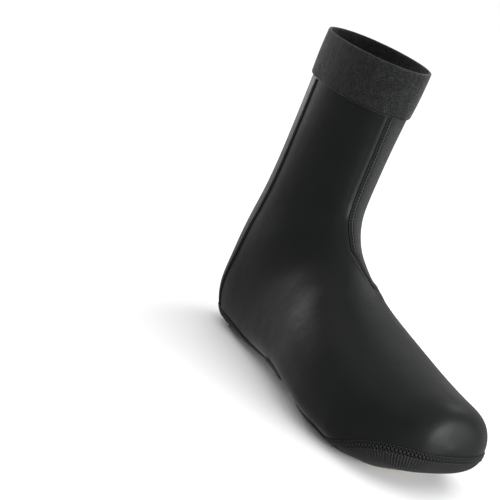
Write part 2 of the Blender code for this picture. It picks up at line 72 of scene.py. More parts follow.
SHAFT_POWER = 2.1

# Toe to ball, over the arch, and round the ankle: sole x and z, top x and z, lateral and medial
# half width, and the share of the height where the section is widest.
TOE_SECTIONS = (
    (1.000, 1.00, 1.000, 0.570, 0.014, 0.014, 0.50),
    (0.995, 0.77, 0.986, 0.830, 0.135, 0.225, 0.42),
    (0.979, 0.54, 0.965, 0.945, 0.220, 0.335, 0.38),
    (0.952, 0.36, 0.934, 0.990, 0.304, 0.430, 0.37),
    (0.907, 0.22, 0.886, 1.000, 0.386, 0.476, 0.35),
    (0.848, 0.02, 0.821, 1.035, 0.436, 0.500, 0.33),
    (0.779, 0.00, 0.755, 1.090, 0.492, 0.496, 0.31),
)
ARCH_SECTIONS = (
    (0.707, 0.00, 0.686, 0.828, 0.500, 0.478, 0.31),
    (0.621, 0.30, 0.614, 0.883, 0.490, 0.450, 0.31),
    (0.524, 0.80, 0.552, 0.941, 0.455, 0.400, 0.32),
    (0.428, 1.00, 0.506, 1.012, 0.375, 0.350, 0.34),
)
HEEL_SECTIONS = (
    (0.331, 0.100, 0.474, 1.065, 0.585, 0.545, 0.37),
    (0.234, 0.035, 0.446, 1.125, 0.525, 0.505, 0.40),
    (0.145, 0.000, 0.423, 1.180, 0.470, 0.480, 0.42),
    (0.076, 0.012, 0.407, 1.230, 0.460, 0.470, 0.45),
    (0.027, 0.180, 0.394, 1.275, 0.475, 0.475, 0.48),
    (0.001, 0.520, 0.383, 1.315, 0.480, 0.480, 0.50),
    (0.000, 1.000, 0.374, 1.360, 0.472, 0.472, 0.50),
)
# Up the shaft: climb at the back and at the front, back and front x, half width.
SHAFT_SECTIONS = (
    (0.180, 0.065, 0.026, 1.064, 0.470),
    (0.315, 0.150, 0.070, 1.055, 0.466),
    (0.477, 0.270, 0.092, 1.052, 0.470),
    (0.652, 0.440, 0.094, 1.055, 0.475),
    (0.826, 0.690, 0.086, 1.075, 0.480),
    (1.000, 1.000, 0.082, 1.099, 0.484),
)
TOE_SEAM = (
    (0.738, 0.14), (0.790, 0.22), (0.841, 0.39), (0.886, 0.62),
    (0.931, 0.78), (0.976, 0.86), (1.070, 0.91),
)
HEEL_SEAM = ((-0.050, 0.215), (0.120, 0.205), (0.190, 0.185), (0.262, 0.140))
OPENING_ROWS = (
    (0.800, 0.000, 0.000), (0.796, 0.190, 0.190), (0.782, 0.290, 0.290), (0.757, 0.365, 0.365),
    (0.710, 0.385, 0.375), (0.650, 0.355, 0.345), (0.590, 0.300, 0.285), (0.530, 0.240, 0.230),
    (0.470, 0.185, 0.185), (0.390, 0.160, 0.160), (0.250, 0.158, 0.158), (0.180, 0.150, 0.150),
    (0.145, 0.118, 0.118), (0.127, 0.066, 0.066), (0.120, 0.000, 0.000),
)
# The ankle panel's two edges: climb from its tip to the cuff, and degrees round from the top line.
PANEL_TIP = 9.9
PANEL_ROWS = (
    (0.00, 14.0, 20.0), (0.05, 11.0, 30.0), (0.14, 5.5, 39.0), (0.19, 1.8, 43.5),
    (0.24, -1.8, 47.0), (0.40, -3.0, 56.0), (0.62, -3.0, 62.0), (0.90, -4.0, 67.0),
    (1.00, -8.0, 69.0),
)

toe_rows = np.array(TOE_SECTIONS)
arch_rows = np.array(ARCH_SECTIONS)
heel_rows = np.array(HEEL_SECTIONS)
shaft_rows = np.array(SHAFT_SECTIONS)
toe_sizes = (LENGTH, TOE_SPRING, LENGTH, TOE_HEIGHT, BALL_WIDTH, BALL_WIDTH, 1.0)
arch_sizes = (LENGTH, ARCH_RISE, LENGTH, INSTEP_HEIGHT, BALL_WIDTH, BALL_WIDTH, 1.0)
heel_sizes = (LENGTH, HEEL_HEIGHT, LENGTH, INSTEP_HEIGHT, HEEL_WIDTH, HEEL_WIDTH, 1.0)
ankle_back = HEEL_HEIGHT
ankle_front = heel_rows[-1, 3] * INSTEP_HEIGHT
SECTIONS = np.concatenate([
    toe_rows * toe_sizes,
    arch_rows * arch_sizes,
    heel_rows * heel_sizes,
    np.stack([
        shaft_rows[:, 2] * COLLAR_DEPTH,
        ankle_back + shaft_rows[:, 0] * (SHAFT_HEIGHT - ankle_back),
        shaft_rows[:, 3] * COLLAR_DEPTH,
        ankle_front + shaft_rows[:, 1] * (SHAFT_HEIGHT - ankle_front),
        shaft_rows[:, 4] * COLLAR_WIDTH,
        shaft_rows[:, 4] * COLLAR_WIDTH,
        np.full(len(shaft_rows), 0.5),
    ], axis=1),
])
LAST = len(SECTIONS) - 1
SHAFT_START = len(SECTIONS) - len(SHAFT_SECTIONS)
FINE = 40


def blurred(table, width):
    """A table averaged along its rows with a bell this many sections wide, its two ends kept."""
    reach = 3 * FINE
    bell = np.exp(-0.5 * (np.arange(-reach, reach + 1) / (width * FINE)) ** 2)
    before = 2.0 * table[0] - table[reach:0:-1]
    after = 2.0 * table[-1] - table[-2:-reach - 2:-1]
    longer = np.concatenate([before, table, after])
    return np.stack([np.convolve(values, bell / bell.sum(), "valid") for values in longer.T], axis=1)


def even_table():
    """Section values at every fortieth of a section: a cubic that never overshoots, then averaged.

    Slopes at a row are the harmonic mean of its two steps. From the ball to the heel the half
    widths are averaged over a wider bell, because the neoprene spans the waist of the shoe.
    """
    places = np.arange(LAST * FINE + 1) / FINE
    steps = np.diff(SECTIONS, axis=0)
    slopes = np.zeros_like(SECTIONS)
    product = steps[:-1] * steps[1:]
    total = np.where(product > 0.0, steps[:-1] + steps[1:], 1.0)
    slopes[1:-1] = np.where(product > 0.0, 2.0 * product / total, 0.0)
    slopes[0] = steps[0]
    slopes[-1] = steps[-1]
    low = np.clip(np.floor(places).astype(int), 0, LAST - 1)
    part = (places - low)[:, None]
    cubic = slopes[low] + slopes[low + 1] - 2.0 * steps[low]
    square = 3.0 * steps[low] - 2.0 * slopes[low] - slopes[low + 1]
    table = SECTIONS[low] + slopes[low] * part + square * part ** 2 + cubic * part ** 3
    soft = blurred(table, 0.3)
    share = np.clip((places - 5.5) / 1.5, 0.0, 1.0) * np.clip((17.0 - places) / 2.0, 0.0, 1.0)
    share = (share ** 2 * (3.0 - 2.0 * share))[:, None]
    soft[:, 4:6] += (blurred(table, 0.9)[:, 4:6] - soft[:, 4:6]) * share
    return soft


TABLE = even_table()
TABLE_SLOPES = np.gradient(TABLE, axis=0)


def section_values(places):
    """Section values at any place: a cubic through the fine table with its own slopes."""
    along = np.clip(places, 0.0, LAST) * FINE
    low = np.clip(np.floor(along).astype(int), 0, len(TABLE) - 2)
    part = (along - low)[..., None]
    rise = TABLE[low + 1] - TABLE[low]
    cubic = TABLE_SLOPES[low] + TABLE_SLOPES[low + 1] - 2.0 * rise
    square = 3.0 * rise - 2.0 * TABLE_SLOPES[low] - TABLE_SLOPES[low + 1]
    return TABLE[low] + TABLE_SLOPES[low] * part + square * part ** 2 + cubic * part ** 3


def last_surface(places, turns):
    """The bare outer surface: each section is two half ovals that meet at its widest line.

    Turn 0 is the top line, pi the sole line, and positive turns are on the medial side. Height
    and width follow powers of the cosine and the sine, and the shaft leans to the medial side.
    """
    places, turns = np.broadcast_arrays(np.asarray(places, float), np.asarray(turns, float))
    sole_x, sole_z, top_x, top_z, lateral, medial, belly = np.moveaxis(section_values(places), -1, 0)
    up = np.cos(turns)
    side = np.sin(turns)
    climb = np.clip((places - SHAFT_START + 4.0) / 4.0, 0.0, 1.0)
    low_power = SOLE_POWER + (SHAFT_POWER - SOLE_POWER) * climb
    power = low_power + (TOP_POWER - low_power) * (0.5 + 0.5 * np.tanh(up * 9.0))
    reach = np.abs(up) ** (2.0 / power)
    share = np.where(up >= 0.0, belly + (1.0 - belly) * reach, belly - belly * reach)
    width = np.where(side >= 0.0, medial, lateral)
    x = sole_x + (top_x - sole_x) * share - LENGTH / 2.0
    z = sole_z + (top_z - sole_z) * share
    y = np.sign(side) * width * np.abs(side) ** (2.0 / power)
    above = z - INSTEP_HEIGHT * LEAN_START_SHARE
    soft = 0.010
    above = np.where(above > soft, above - soft / 2.0,
                     np.where(above < 0.0, 0.0, above ** 2 / (2.0 * soft)))
    y = y + math.tan(math.radians(SHAFT_LEAN_DEG)) * (above + 0.002 * np.clip(above / soft, 0, 1))
    return np.stack([x, y, z + TAPE_PROUD - FLAT_DEPTH], axis=-1)


def outward(places, turns):
    """Unit normals of the bare surface, from the cross product of its two slopes."""
    step = 2.0e-3
    start = np.maximum(places, 0.03)
    fore = np.clip(start - step, 0.02, LAST)
    aft = np.clip(start + step, 0.02, LAST)
    along = last_surface(aft, turns) - last_surface(fore, turns)
    around = last_surface(start, turns + step) - last_surface(start, turns - step)
    normal = np.cross(around, along)
    return normal / np.linalg.norm(normal, axis=-1, keepdims=True)


def surface(places, turns, out):
    """Points a distance out along the normal, flat where the cover rests on the floor."""
    places, turns, out = np.broadcast_arrays(
        np.asarray(places, float), np.asarray(turns, float), np.asarray(out, float))
    points = last_surface(places, turns) + outward(places, turns) * out[..., None]
    points[..., 2] = np.maximum(points[..., 2], TAPE_PROUD - out)
    return points


def place_at_height(height):
    """The place up the shaft whose middle is at a height."""
    places = np.linspace(SHAFT_START, LAST, 800)
    rows = section_values(places)
    return float(np.interp(height, (rows[:, 1] + rows[:, 3]) / 2.0, places))


def seam_height(x, rows, size):
    """Height of a sole seam over a place on X, eased through its rows."""
    table = np.array(rows)
    fine_x = np.linspace(table[0, 0], table[-1, 0], 300)
    fine_z = np.interp(fine_x, table[:, 0], table[:, 1])
    bell = np.exp(-0.5 * (np.arange(-20, 21) / 9.0) ** 2)
    padded = np.pad(fine_z, 20, mode="reflect", reflect_type="odd")
    fine_z = np.convolve(padded, bell / bell.sum(), "valid")
    return np.interp(x, (fine_x - 0.5) * LENGTH, fine_z * size)


def opening_loop():
    """The opening's outline in plan: its rows with the corners cut four times over."""
    rows = np.array(OPENING_ROWS)
    x = (rows[:, 0] - 0.5) * LENGTH
    lateral = np.stack([x, -rows[:, 1] * BALL_WIDTH], axis=1)
    medial = np.stack([x, rows[:, 2] * BALL_WIDTH], axis=1)
    loop = np.concatenate([lateral, medial[-2:0:-1]])
    for _ in range(4):
        ahead = np.roll(loop, -1, axis=0)
        loop = np.stack([loop * 0.75 + ahead * 0.25, loop * 0.25 + ahead * 0.75], axis=1)
        loop = loop.reshape(-1, 2)
    return loop


OPENING = opening_loop()


def opening_half_width(x, sign):
    """Half width of the opening at a place on X, on one side, or less than nothing beyond it."""
    edge = OPENING[OPENING[:, 1] * sign > 0.0]
    edge = edge[np.argsort(edge[:, 0])]
    return np.interp(x, edge[:, 0], np.abs(edge[:, 1]), left=-1.0, right=-1.0)


def turn_where(places, sign, depth_below):
    """The first turn, from the side towards the sole line, at which depth_below turns positive."""
    turns = np.linspace(0.35 * math.pi, math.pi, 1200)
    points = last_surface(np.asarray(places)[:, None], sign * turns[None, :])
    depth = depth_below(points)
    found = depth > 0.0
    found[:, 0] = False
    first = np.argmax(found, axis=1)
    rows = np.arange(len(places))
    after = depth[rows, first]
    before = depth[rows, np.maximum(first - 1, 0)]
    part = np.where(found.any(axis=1), before / np.where(before == after, 1.0, before - after), 0.0)
    part = np.clip(part, 0.0, 1.0)
    here = turns[np.maximum(first - 1, 0)] + part * (turns[1] - turns[0])
    return np.where(found.any(axis=1), here, math.pi)


def toe_side(places, sign):
    """The turn of the toe sole's seam: where the side drops below the seam's height."""
    return turn_where(places, sign, lambda p: seam_height(p[..., 0], TOE_SEAM, TOE_SPRING) - p[..., 2])


def heel_side(places, sign):
    """The turn of the heel sole's seam: where the side drops below the seam's height."""
    return turn_where(places, sign, lambda p: seam_height(p[..., 0], HEEL_SEAM, HEEL_HEIGHT) - p[..., 2])


def opening_side(places, sign):
    """The turn of the opening's edge: where the half width falls inside the opening's own."""
    return turn_where(places, sign,
                      lambda p: opening_half_width(p[..., 0], sign) - np.abs(p[..., 1]))


def first_place(low, high, test):
    """The place between two others where a test changes its answer, by halving."""
    start = test(low)
    for _ in range(40):
        middle = (low + high) / 2.0
        if test(middle) == start:
            low = middle
        else:
            high = middle
    return (low + high) / 2.0


def place_on_sole(x):
    """The place whose sole line is at x."""
    places = np.linspace(0.0, 16.0, 1600)
    return float(np.interp(-x, -(section_values(places)[:, 0] - LENGTH / 2.0), places))


TOE_CLOSE = first_place(0.0, 3.0, lambda t: bool(toe_side(np.array([t]), 1)[0] >= math.pi))
TOE_END = place_on_sole((TOE_SEAM[0][0] - 0.5) * LENGTH)
HEEL_START = place_on_sole((HEEL_SEAM[-1][0] - 0.5) * LENGTH)
HEEL_CLOSE = first_place(14.0, 18.0, lambda t: bool(heel_side(np.array([t]), 1)[0] >= math.pi))
OPEN_FRONT = place_on_sole(float(OPENING[:, 0].max()) - 1e-5)
OPEN_BACK = place_on_sole(float(OPENING[:, 0].min()) + 1e-5)
CUFF_PLACE = place_at_height(CUFF_FOOT)
WALL_TOP_PLACE = place_at_height(WALL_TOP)


def rows_between(start, end, count, tight_start=False, tight_end=False):
    """Places from start to end, set closer together towards an end that is to be rounded."""
    share = np.linspace(0.0, 1.0, count + 1)
    if tight_start and tight_end:
        share = 0.5 - 0.5 * np.cos(math.pi * share)
    elif tight_start:
        share = share ** 2
    elif tight_end:
        share = 1.0 - (1.0 - share) ** 2
    return start + (end - start) * share


def join_rows(*parts):
    """Runs of places joined end to end, each shared place kept once."""
    every = np.concatenate(parts)
    keep = np.concatenate([[True], np.diff(every) > 1e-9])
    return every[keep]


def even_turns(places, start, end, count):
    """Turns from start to end at every place, spaced evenly by length along the surface."""
    share = np.linspace(0.0, 1.0, 140)
    turns = start[:, None] + (end - start)[:, None] * share[None, :]
    points = last_surface(places[:, None], turns)
    lengths = np.linalg.norm(np.diff(points, axis=1), axis=-1) + 1e-9
    run = np.concatenate([np.zeros((len(places), 1)), np.cumsum(lengths, axis=1)], axis=1)
    run = run / run[:, -1:]
    wanted = np.linspace(0.0, 1.0, count + 1)
    return np.stack([np.interp(wanted, run[k], turns[k]) for k in range(len(places))])


def turn_speed(places, turns):
    """Metres along the surface for each radian round the section."""
    step = 0.02
    gap = last_surface(places, turns + step) - last_surface(places, turns - step)
    return np.linalg.norm(gap, axis=-1) / (2.0 * step)


def panel_edge(places, column):
    """The turn of the ankle panel's front edge (column 1) or medial edge (column 2)."""
    rows = np.array(PANEL_ROWS)
    climb = (places - PANEL_TIP) / (place_at_height(CUFF_FOOT + CUFF_LAP / 2.0) - PANEL_TIP)
    fine = np.linspace(-0.4, 1.2, 400)
    value = np.interp(fine, rows[:, 0], rows[:, column])
    bell = np.exp(-0.5 * (np.arange(-12, 13) / 4.0) ** 2)
    value = np.convolve(np.pad(value, 12, mode="edge"), bell / bell.sum(), "valid")
    return np.radians(np.interp(climb, fine, value))


def bell_of(distance, width):
    """A bell of height 1 over a distance."""
    return np.exp(-((distance / width) ** 2))


def sheet_mesh(name, outer, inner, keep, index, cloth, inner_paint=0):
    """A closed wall from two grids of points: faces where keep is true, and a rim along each edge.

    index gives each grid point's vertex number, so points that share a number are welded. The rim
    joins the outer to the inner sheet along every face side that has no neighbour.
    """
    rows, columns = keep.shape
    here = np.arange(index.size).reshape(index.shape)
    corners = np.stack([here[:-1, :-1], here[:-1, 1:], here[1:, 1:], here[1:, :-1]], axis=-1)[keep]
    faces = index.reshape(-1)[corners]
    total = index.size
    tails = faces
    heads = np.roll(faces, -1, axis=1)
    used_side = tails != heads
    keys = tails.astype(np.int64) * total + heads
    back = heads.astype(np.int64) * total + tails
    lone = used_side & ~np.isin(keys, back[used_side])
    rim = np.stack([heads[lone], tails[lone], tails[lone] + total, heads[lone] + total], axis=1)
    corner_next = np.roll(corners, -1, axis=1)
    rim_grid = np.stack([corner_next[lone], corners[lone], corners[lone], corner_next[lone]], axis=1)
    every = np.concatenate([faces, faces[:, ::-1] + total, rim])
    grid_of = np.concatenate([corners, corners[:, ::-1], rim_grid])
    paint_of = np.concatenate([
        np.zeros(len(faces), int), np.full(len(faces), inner_paint), np.zeros(len(rim), int)])
    points = np.concatenate([outer.reshape(-1, 3), inner.reshape(-1, 3)])
    flat_cloth = cloth.reshape(-1, 2)
    lists, cloth_list, paint_list = [], [], []
    same = every == np.roll(every, -1, axis=1)
    whole = ~same.any(axis=1)
    lists += every[whole].tolist()
    cloth_list.append(flat_cloth[grid_of[whole]].reshape(-1, 2))
    paint_list.append(paint_of[whole])
    for side in range(4):
        three = same[:, side] & (same.sum(axis=1) == 1)
        kept = [corner for corner in range(4) if corner != side]
        lists += every[three][:, kept].tolist()
        cloth_list.append(flat_cloth[grid_of[three][:, kept]].reshape(-1, 2))
        paint_list.append(paint_of[three])
    used, numbers = np.unique(np.concatenate([np.array(face) for face in lists]), return_inverse=True)
    sizes = np.array([len(face) for face in lists])
    ends = np.cumsum(sizes)
    faces_out = [numbers[end - size:end].tolist() for end, size in zip(ends, sizes)]
    mesh = bpy.data.meshes.new(name)
    mesh.from_pydata(points[used].tolist(), [], faces_out)
    layer = mesh.uv_layers.new(name="cloth")
    layer.data.foreach_set("uv", np.concatenate(cloth_list).ravel())
    mesh.polygons.foreach_set("material_index", np.concatenate(paint_list))
    return mesh


def place_piece(name, mesh, paints, nodes=(), sharp_deg=50.0):
    """Puts a mesh in the scene as one smooth piece: normals out, materials, body and nodes."""
    work = bmesh.new()
    work.from_mesh(mesh)
    bmesh.ops.remove_doubles(work, verts=work.verts, dist=1e-7)
    bmesh.ops.recalc_face_normals(work, faces=work.faces)
    work.to_mesh(mesh)
    work.free()
    mesh.shade_smooth()
    mesh.set_sharp_from_angle(angle=math.radians(sharp_deg))
    piece = bpy.data.objects.new(name, mesh)
    bpy.context.scene.collection.objects.link(piece)
    for paint in paints:
        mesh.materials.append(paint)
    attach(piece, "root")
    if nodes:
        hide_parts(*nodes)
    return piece


def new_paint(name, colour, roughness, ior=1.45):
    """A Principled material with plain constants, and its nodes, links and shader."""
    paint = bpy.data.materials.new(name)
    paint.use_nodes = True
    nodes = paint.node_tree.nodes
    links = paint.node_tree.links
    shader = nodes["Principled BSDF"]
    shader.inputs["Base Color"].default_value = (*colour, 1.0)
    shader.inputs["Roughness"].default_value = roughness
    shader.inputs["IOR"].default_value = ior
    return paint, nodes, links, shader


def noise(nodes, links, source, scale, detail=2.0, roughness=0.5):
    """A noise texture on coordinates."""
    texture = nodes.new("ShaderNodeTexNoise")
    texture.inputs["Scale"].default_value = scale
    texture.inputs["Detail"].default_value = detail
    texture.inputs["Roughness"].default_value = roughness
    links.new(source, texture.inputs["Vector"])
    return texture.outputs["Fac"]


def ramp(nodes, links, source, low, high, start=0.0, end=1.0):
    """Maps a value from start-end to low-high."""
    node = nodes.new("ShaderNodeMapRange")
    node.inputs["From Min"].default_value = start
    node.inputs["From Max"].default_value = end
    node.inputs["To Min"].default_value = low
    node.inputs["To Max"].default_value = high
    links.new(source, node.inputs["Value"])
    return node.outputs["Result"]


def mix_colours(nodes, links, share, first, second):
    """A colour between two colours by a share."""
    node = nodes.new("ShaderNodeMix")
    node.data_type = "RGBA"
    node.inputs[6].default_value = (*first, 1.0)
    node.inputs[7].default_value = (*second, 1.0)
    links.new(share, node.inputs[0])
    return node.outputs[2]


def relief(nodes, links, shader, layers):
    """Bump layers, each (height value, depth in metres), chained into the shader's normal."""
    last = None
    for height, depth in layers:
        bump = nodes.new("ShaderNodeBump")
        bump.inputs["Strength"].default_value = 1.0
        bump.inputs["Distance"].default_value = depth
        links.new(height, bump.inputs["Height"])
        if last is not None:
            links.new(last, bump.inputs["Normal"])
        last = bump.outputs["Normal"]
    links.new(last, shader.inputs["Normal"])


def neoprene_paint():
    """Smooth-skin neoprene: near-black rubber with a fine grain and faint broad unevenness."""
    paint, nodes, links, shader = new_paint("neoprene_skin", (0.004, 0.0045, 0.0045), 0.42, 1.22)
    spot = nodes.new("ShaderNodeTexCoord").outputs["Object"]
    fine = noise(nodes, links, spot, 2600.0, 3.0, 0.6)
    broad = noise(nodes, links, spot, 55.0, 3.0, 0.5)
    links.new(ramp(nodes, links, broad, 0.40, 0.48, 0.3, 0.7), shader.inputs["Roughness"])
    links.new(mix_colours(nodes, links, broad, (0.0030, 0.0034, 0.0034), (0.0045, 0.0050, 0.0050)),
              shader.inputs["Base Color"])
    relief(nodes, links, shader, ((fine, 0.00006), (broad, 0.0005)))
    return paint


def lining_paint():
    """Black jersey lining laminated to the inside of the neoprene, with a fine knit."""
    paint, nodes, links, shader = new_paint("jersey_lining", (0.004, 0.004, 0.0042), 0.85, 1.25)
    spot = nodes.new("ShaderNodeTexCoord").outputs["Object"]
    knit = noise(nodes, links, spot, 1500.0, 1.0)
    shader.inputs["Sheen Weight"].default_value = 0.15
    shader.inputs["Sheen Roughness"].default_value = 0.5
    relief(nodes, links, shader, ((knit, 0.0002),))
    return paint


neoprene = neoprene_paint()
lining = lining_paint()

# Soft unevenness of the standing wall, listed one by one: place, degrees round, reach along and round in
# metres, and height. Troughs are below nothing and ridges above it.
CREASES = (
    (12.6, -38.0, 0.020, 0.014, -0.0007),
    (12.0, -62.0, 0.018, 0.020, 0.0005),
    (13.6, -30.0, 0.016, 0.012, 0.0005),
    (12.4, 75.0, 0.020, 0.016, -0.0006),
    (15.6, -100.0, 0.022, 0.016, -0.0005),
    (18.4, -65.0, 0.030, 0.016, -0.0006),
    (19.6, 110.0, 0.030, 0.020, -0.0006),
    (17.2, 178.0, 0.014, 0.030, -0.0006),
    (7.5, -55.0, 0.035, 0.020, 0.0004),
    (8.8, 80.0, 0.030, 0.020, -0.0004),
)


def crease_height(points):
    """Height of the listed creases: a sum of bells about points on the surface."""
    height = np.zeros(points.shape[:-1])
    for place, degrees, along, across, rise in CREASES:
        centre = last_surface(place, math.radians(degrees))
        normal = outward(np.array([place]), np.array([math.radians(degrees)]))[0]
        ahead = last_surface(place + 0.1, math.radians(degrees)) - centre
        ahead = ahead - normal * ahead.dot(normal)
        ahead = ahead / np.linalg.norm(ahead)
        sideways = np.cross(normal, ahead)
        away = points - centre
        lengthways = away @ ahead
        crossways = away @ sideways
        deep = away @ normal
        height += rise * bell_of(lengthways, along) * bell_of(crossways, across) * bell_of(deep, 0.03)
    return height


SEAM_DIP = 0.0007
SEAM_DIP_WIDTH = 0.0016
PANEL_DIP = 0.0004
PANEL_DIP_WIDTH = 0.0030
LIP_RISE = 0.0005
LIP_AWAY = 0.0046
LIP_WIDTH = 0.0016


def upper_relief(places, turns, points):
    """Height of the upper's skin: creases, dips along the seams, and a lip beside the panel."""
    height = crease_height(points)
    for column in (1, 2):
        away = np.abs(turns - panel_edge(places, column)) * turn_speed(places, turns)
        beyond = np.maximum(PANEL_TIP - places, 0.0) * 0.010
        away = np.hypot(away, beyond)
        height += LIP_RISE * bell_of(away - LIP_AWAY, LIP_WIDTH)
        height -= PANEL_DIP * bell_of(away, PANEL_DIP_WIDTH)
    toe_away = points[..., 2] - seam_height(points[..., 0], TOE_SEAM, TOE_SPRING)
    in_toe = points[..., 0] > (TOE_SEAM[0][0] - 0.5) * LENGTH - 0.001
    height -= np.where(in_toe, SEAM_DIP * bell_of(toe_away, SEAM_DIP_WIDTH), 0.0)
    heel_away = points[..., 2] - seam_height(points[..., 0], HEEL_SEAM, HEEL_HEIGHT)
    in_heel = points[..., 0] < (HEEL_SEAM[-1][0] - 0.5) * LENGTH + 0.001
    height -= np.where(in_heel, SEAM_DIP * bell_of(heel_away, SEAM_DIP_WIDTH), 0.0)
    return height


LATERAL_COLUMNS = 84
PANEL_COLUMNS = 18
MEDIAL_COLUMNS = 64
STRIP_COLUMNS = 8
upper_places = join_rows(
    rows_between(0.0, TOE_CLOSE, 6),
    rows_between(TOE_CLOSE, 2.0, 30, tight_start=True),
    rows_between(2.0, TOE_END, 44),
    rows_between(TOE_END, PANEL_TIP, 30),
    rows_between(PANEL_TIP, HEEL_START, 20),
    rows_between(HEEL_START, HEEL_CLOSE, 44, tight_end=True),
    rows_between(HEEL_CLOSE, WALL_TOP_PLACE, 64),
)


def side_line(places, sign):
    """The turn of the upper's lower edge: the toe seam, a smooth run past the arch, the heel seam."""
    turn = np.full(len(places), math.pi)
    at_toe = (places >= TOE_CLOSE) & (places <= TOE_END)
    at_heel = (places >= HEEL_START) & (places <= HEEL_CLOSE)
    turn[at_toe] = toe_side(places[at_toe], sign)
    turn[at_heel] = heel_side(places[at_heel], sign)
    ends = np.array([TOE_END, HEEL_START])
    values = (toe_side(ends[:1], sign)[0], heel_side(ends[1:], sign)[0])
    between = (places > TOE_END) & (places < HEEL_START)
    turn[between] = np.interp(places[between], ends, values)
    return turn


def strip_line(places, sign, side):
    """The turn of the opening's edge beneath the arch, or the side line where there is no strip."""
    here = (places >= TOE_END - 1e-9) & (places <= HEEL_START + 1e-9)
    turn = side.copy()
    turn[here] = np.maximum(opening_side(places[here], sign), side[here] + 0.002)
    return turn


def build_upper():
    """The upper as one grid of places by turns: strip, lateral side, panel gap, medial side, strip."""
    places = upper_places
    lateral = -side_line(places, -1)
    medial = side_line(places, 1)
    lateral_strip = -strip_line(places, -1, -lateral)
    medial_strip = strip_line(places, 1, medial)
    margin = GAP / np.maximum(turn_speed(places, medial), 0.004)
    front = panel_edge(places, 1)
    rear = panel_edge(places, 2)
    open_panel = places >= PANEL_TIP - 1e-9
    front = front - np.where(open_panel, GAP / turn_speed(places, front), 0.0)
    rear = rear + np.where(open_panel, GAP / turn_speed(places, rear), 0.0)
    low = np.where(lateral > -math.pi + 1e-9, lateral + margin, lateral)
    high = np.where(medial < math.pi - 1e-9, medial - margin, medial)
    turns = np.concatenate([
        even_turns(places, lateral_strip, low, STRIP_COLUMNS)[:, :-1],
        even_turns(places, low, front, LATERAL_COLUMNS)[:, :-1],
        even_turns(places, front, rear, PANEL_COLUMNS)[:, :-1],
        even_turns(places, rear, high, MEDIAL_COLUMNS)[:, :-1],
        even_turns(places, high, medial_strip, STRIP_COLUMNS),
    ], axis=1)
    grid_places = np.broadcast_to(places[:, None], turns.shape)
    bare = last_surface(grid_places, turns)
    outer = surface(grid_places, turns, upper_relief(grid_places, turns, bare))
    inner = surface(grid_places, turns, -WALL)
    for sheet in (outer, inner):
        sheet[0] = sheet[0].mean(axis=0)
    rows, columns = turns.shape
    keep = np.ones((rows - 1, columns - 1), bool)
    middle = (places[1:] + places[:-1]) / 2.0
    under = (middle > TOE_END) & (middle < HEEL_START)
    keep[~under, :STRIP_COLUMNS] = False
    keep[~under, -STRIP_COLUMNS:] = False
    panel_start = STRIP_COLUMNS + LATERAL_COLUMNS
    keep[middle > PANEL_TIP, panel_start:panel_start + PANEL_COLUMNS] = False
    index = np.arange(rows * columns).reshape(rows, columns)
    closed = (places <= TOE_CLOSE + 1e-9) | (places >= HEEL_CLOSE - 1e-9)
    index[closed, columns - 1 - STRIP_COLUMNS] = index[closed, STRIP_COLUMNS]
    index[0, :] = index[0, STRIP_COLUMNS]
    cloth = np.stack([grid_places * 0.012, turns * 0.040], axis=-1)
    return sheet_mesh("neoprene_upper", outer, inner, keep, index, cloth, inner_paint=1)


neoprene_upper = place_piece("neoprene_upper", build_upper(), (neoprene, lining),
                             ("upper",))

# Stretch ankle panel.
# A tongue-shaped piece of brushed stretch knit let into the inner side of the ankle, from the
# instep up under the cuff. It is sewn to the neoprene edge to edge with a flat seam.


def knit_paint():
    """Brushed stretch knit: fuzzy dark grey, with fine ribs up the leg."""
    paint, nodes, links, shader = new_paint("stretch_knit", (0.015, 0.016, 0.016), 0.82, 1.30)
    spot = nodes.new("ShaderNodeTexCoord").outputs["Object"]
    cloth = nodes.new("ShaderNodeUVMap")
    cloth.uv_map = "cloth"
    ribs = nodes.new("ShaderNodeTexWave")
    ribs.bands_direction = "Y"
    ribs.inputs["Scale"].default_value = 420.0
    ribs.inputs["Distortion"].default_value = 0.6
    ribs.inputs["Detail"].default_value = 1.0
    links.new(cloth.outputs["UV"], ribs.inputs["Vector"])
    fuzz = noise(nodes, links, spot, 2200.0, 3.0, 0.7)
    patchy = noise(nodes, links, spot, 260.0, 2.0, 0.6)
    links.new(mix_colours(nodes, links, ramp(nodes, links, patchy, 0.0, 1.0, 0.3, 0.7),
                          (0.0060, 0.0068, 0.0066), (0.0115, 0.0128, 0.0125)), shader.inputs["Base Color"])
    shader.inputs["Sheen Weight"].default_value = 0.10
    shader.inputs["Sheen Roughness"].default_value = 0.45
    relief(nodes, links, shader, ((ribs.outputs["Fac"], 0.00022), (fuzz, 0.0002)))
    return paint


def panel_relief(places, turns, points):
    """The panel's height: creases, and a dip along both of its edges."""
    height = crease_height(points)
    for column in (1, 2):
        away = np.abs(turns - panel_edge(places, column)) * turn_speed(places, turns)
        height -= PANEL_DIP * bell_of(away, PANEL_DIP_WIDTH)
    return height


def build_panel():
    """The panel between its two edges, from the tip to the top of the wall."""
    places = join_rows(rows_between(PANEL_TIP + 0.04, 12.0, 30),
                       rows_between(12.0, place_at_height(CUFF_FOOT + CUFF_LAP / 2.0), 90))
    front = panel_edge(places, 1)
    rear = panel_edge(places, 2)
    turns = even_turns(places, front, rear, 50)
    grid_places = np.broadcast_to(places[:, None], turns.shape)
    bare = last_surface(grid_places, turns)
    outer = surface(grid_places, turns, panel_relief(grid_places, turns, bare))
    inner = surface(grid_places, turns, -WALL)
    run = np.cumsum(np.concatenate([[0.0], np.linalg.norm(np.diff(bare[:, 25], axis=0), axis=1)]))
    cloth = np.stack([
        np.broadcast_to(run[:, None], turns.shape),
        turns * 0.040,
    ], axis=-1)
    keep = np.ones((len(places) - 1, 50), bool)
    index = np.arange(turns.size).reshape(turns.shape)
    return sheet_mesh("ankle_stretch_panel", outer, inner, keep, index, cloth, inner_paint=1)


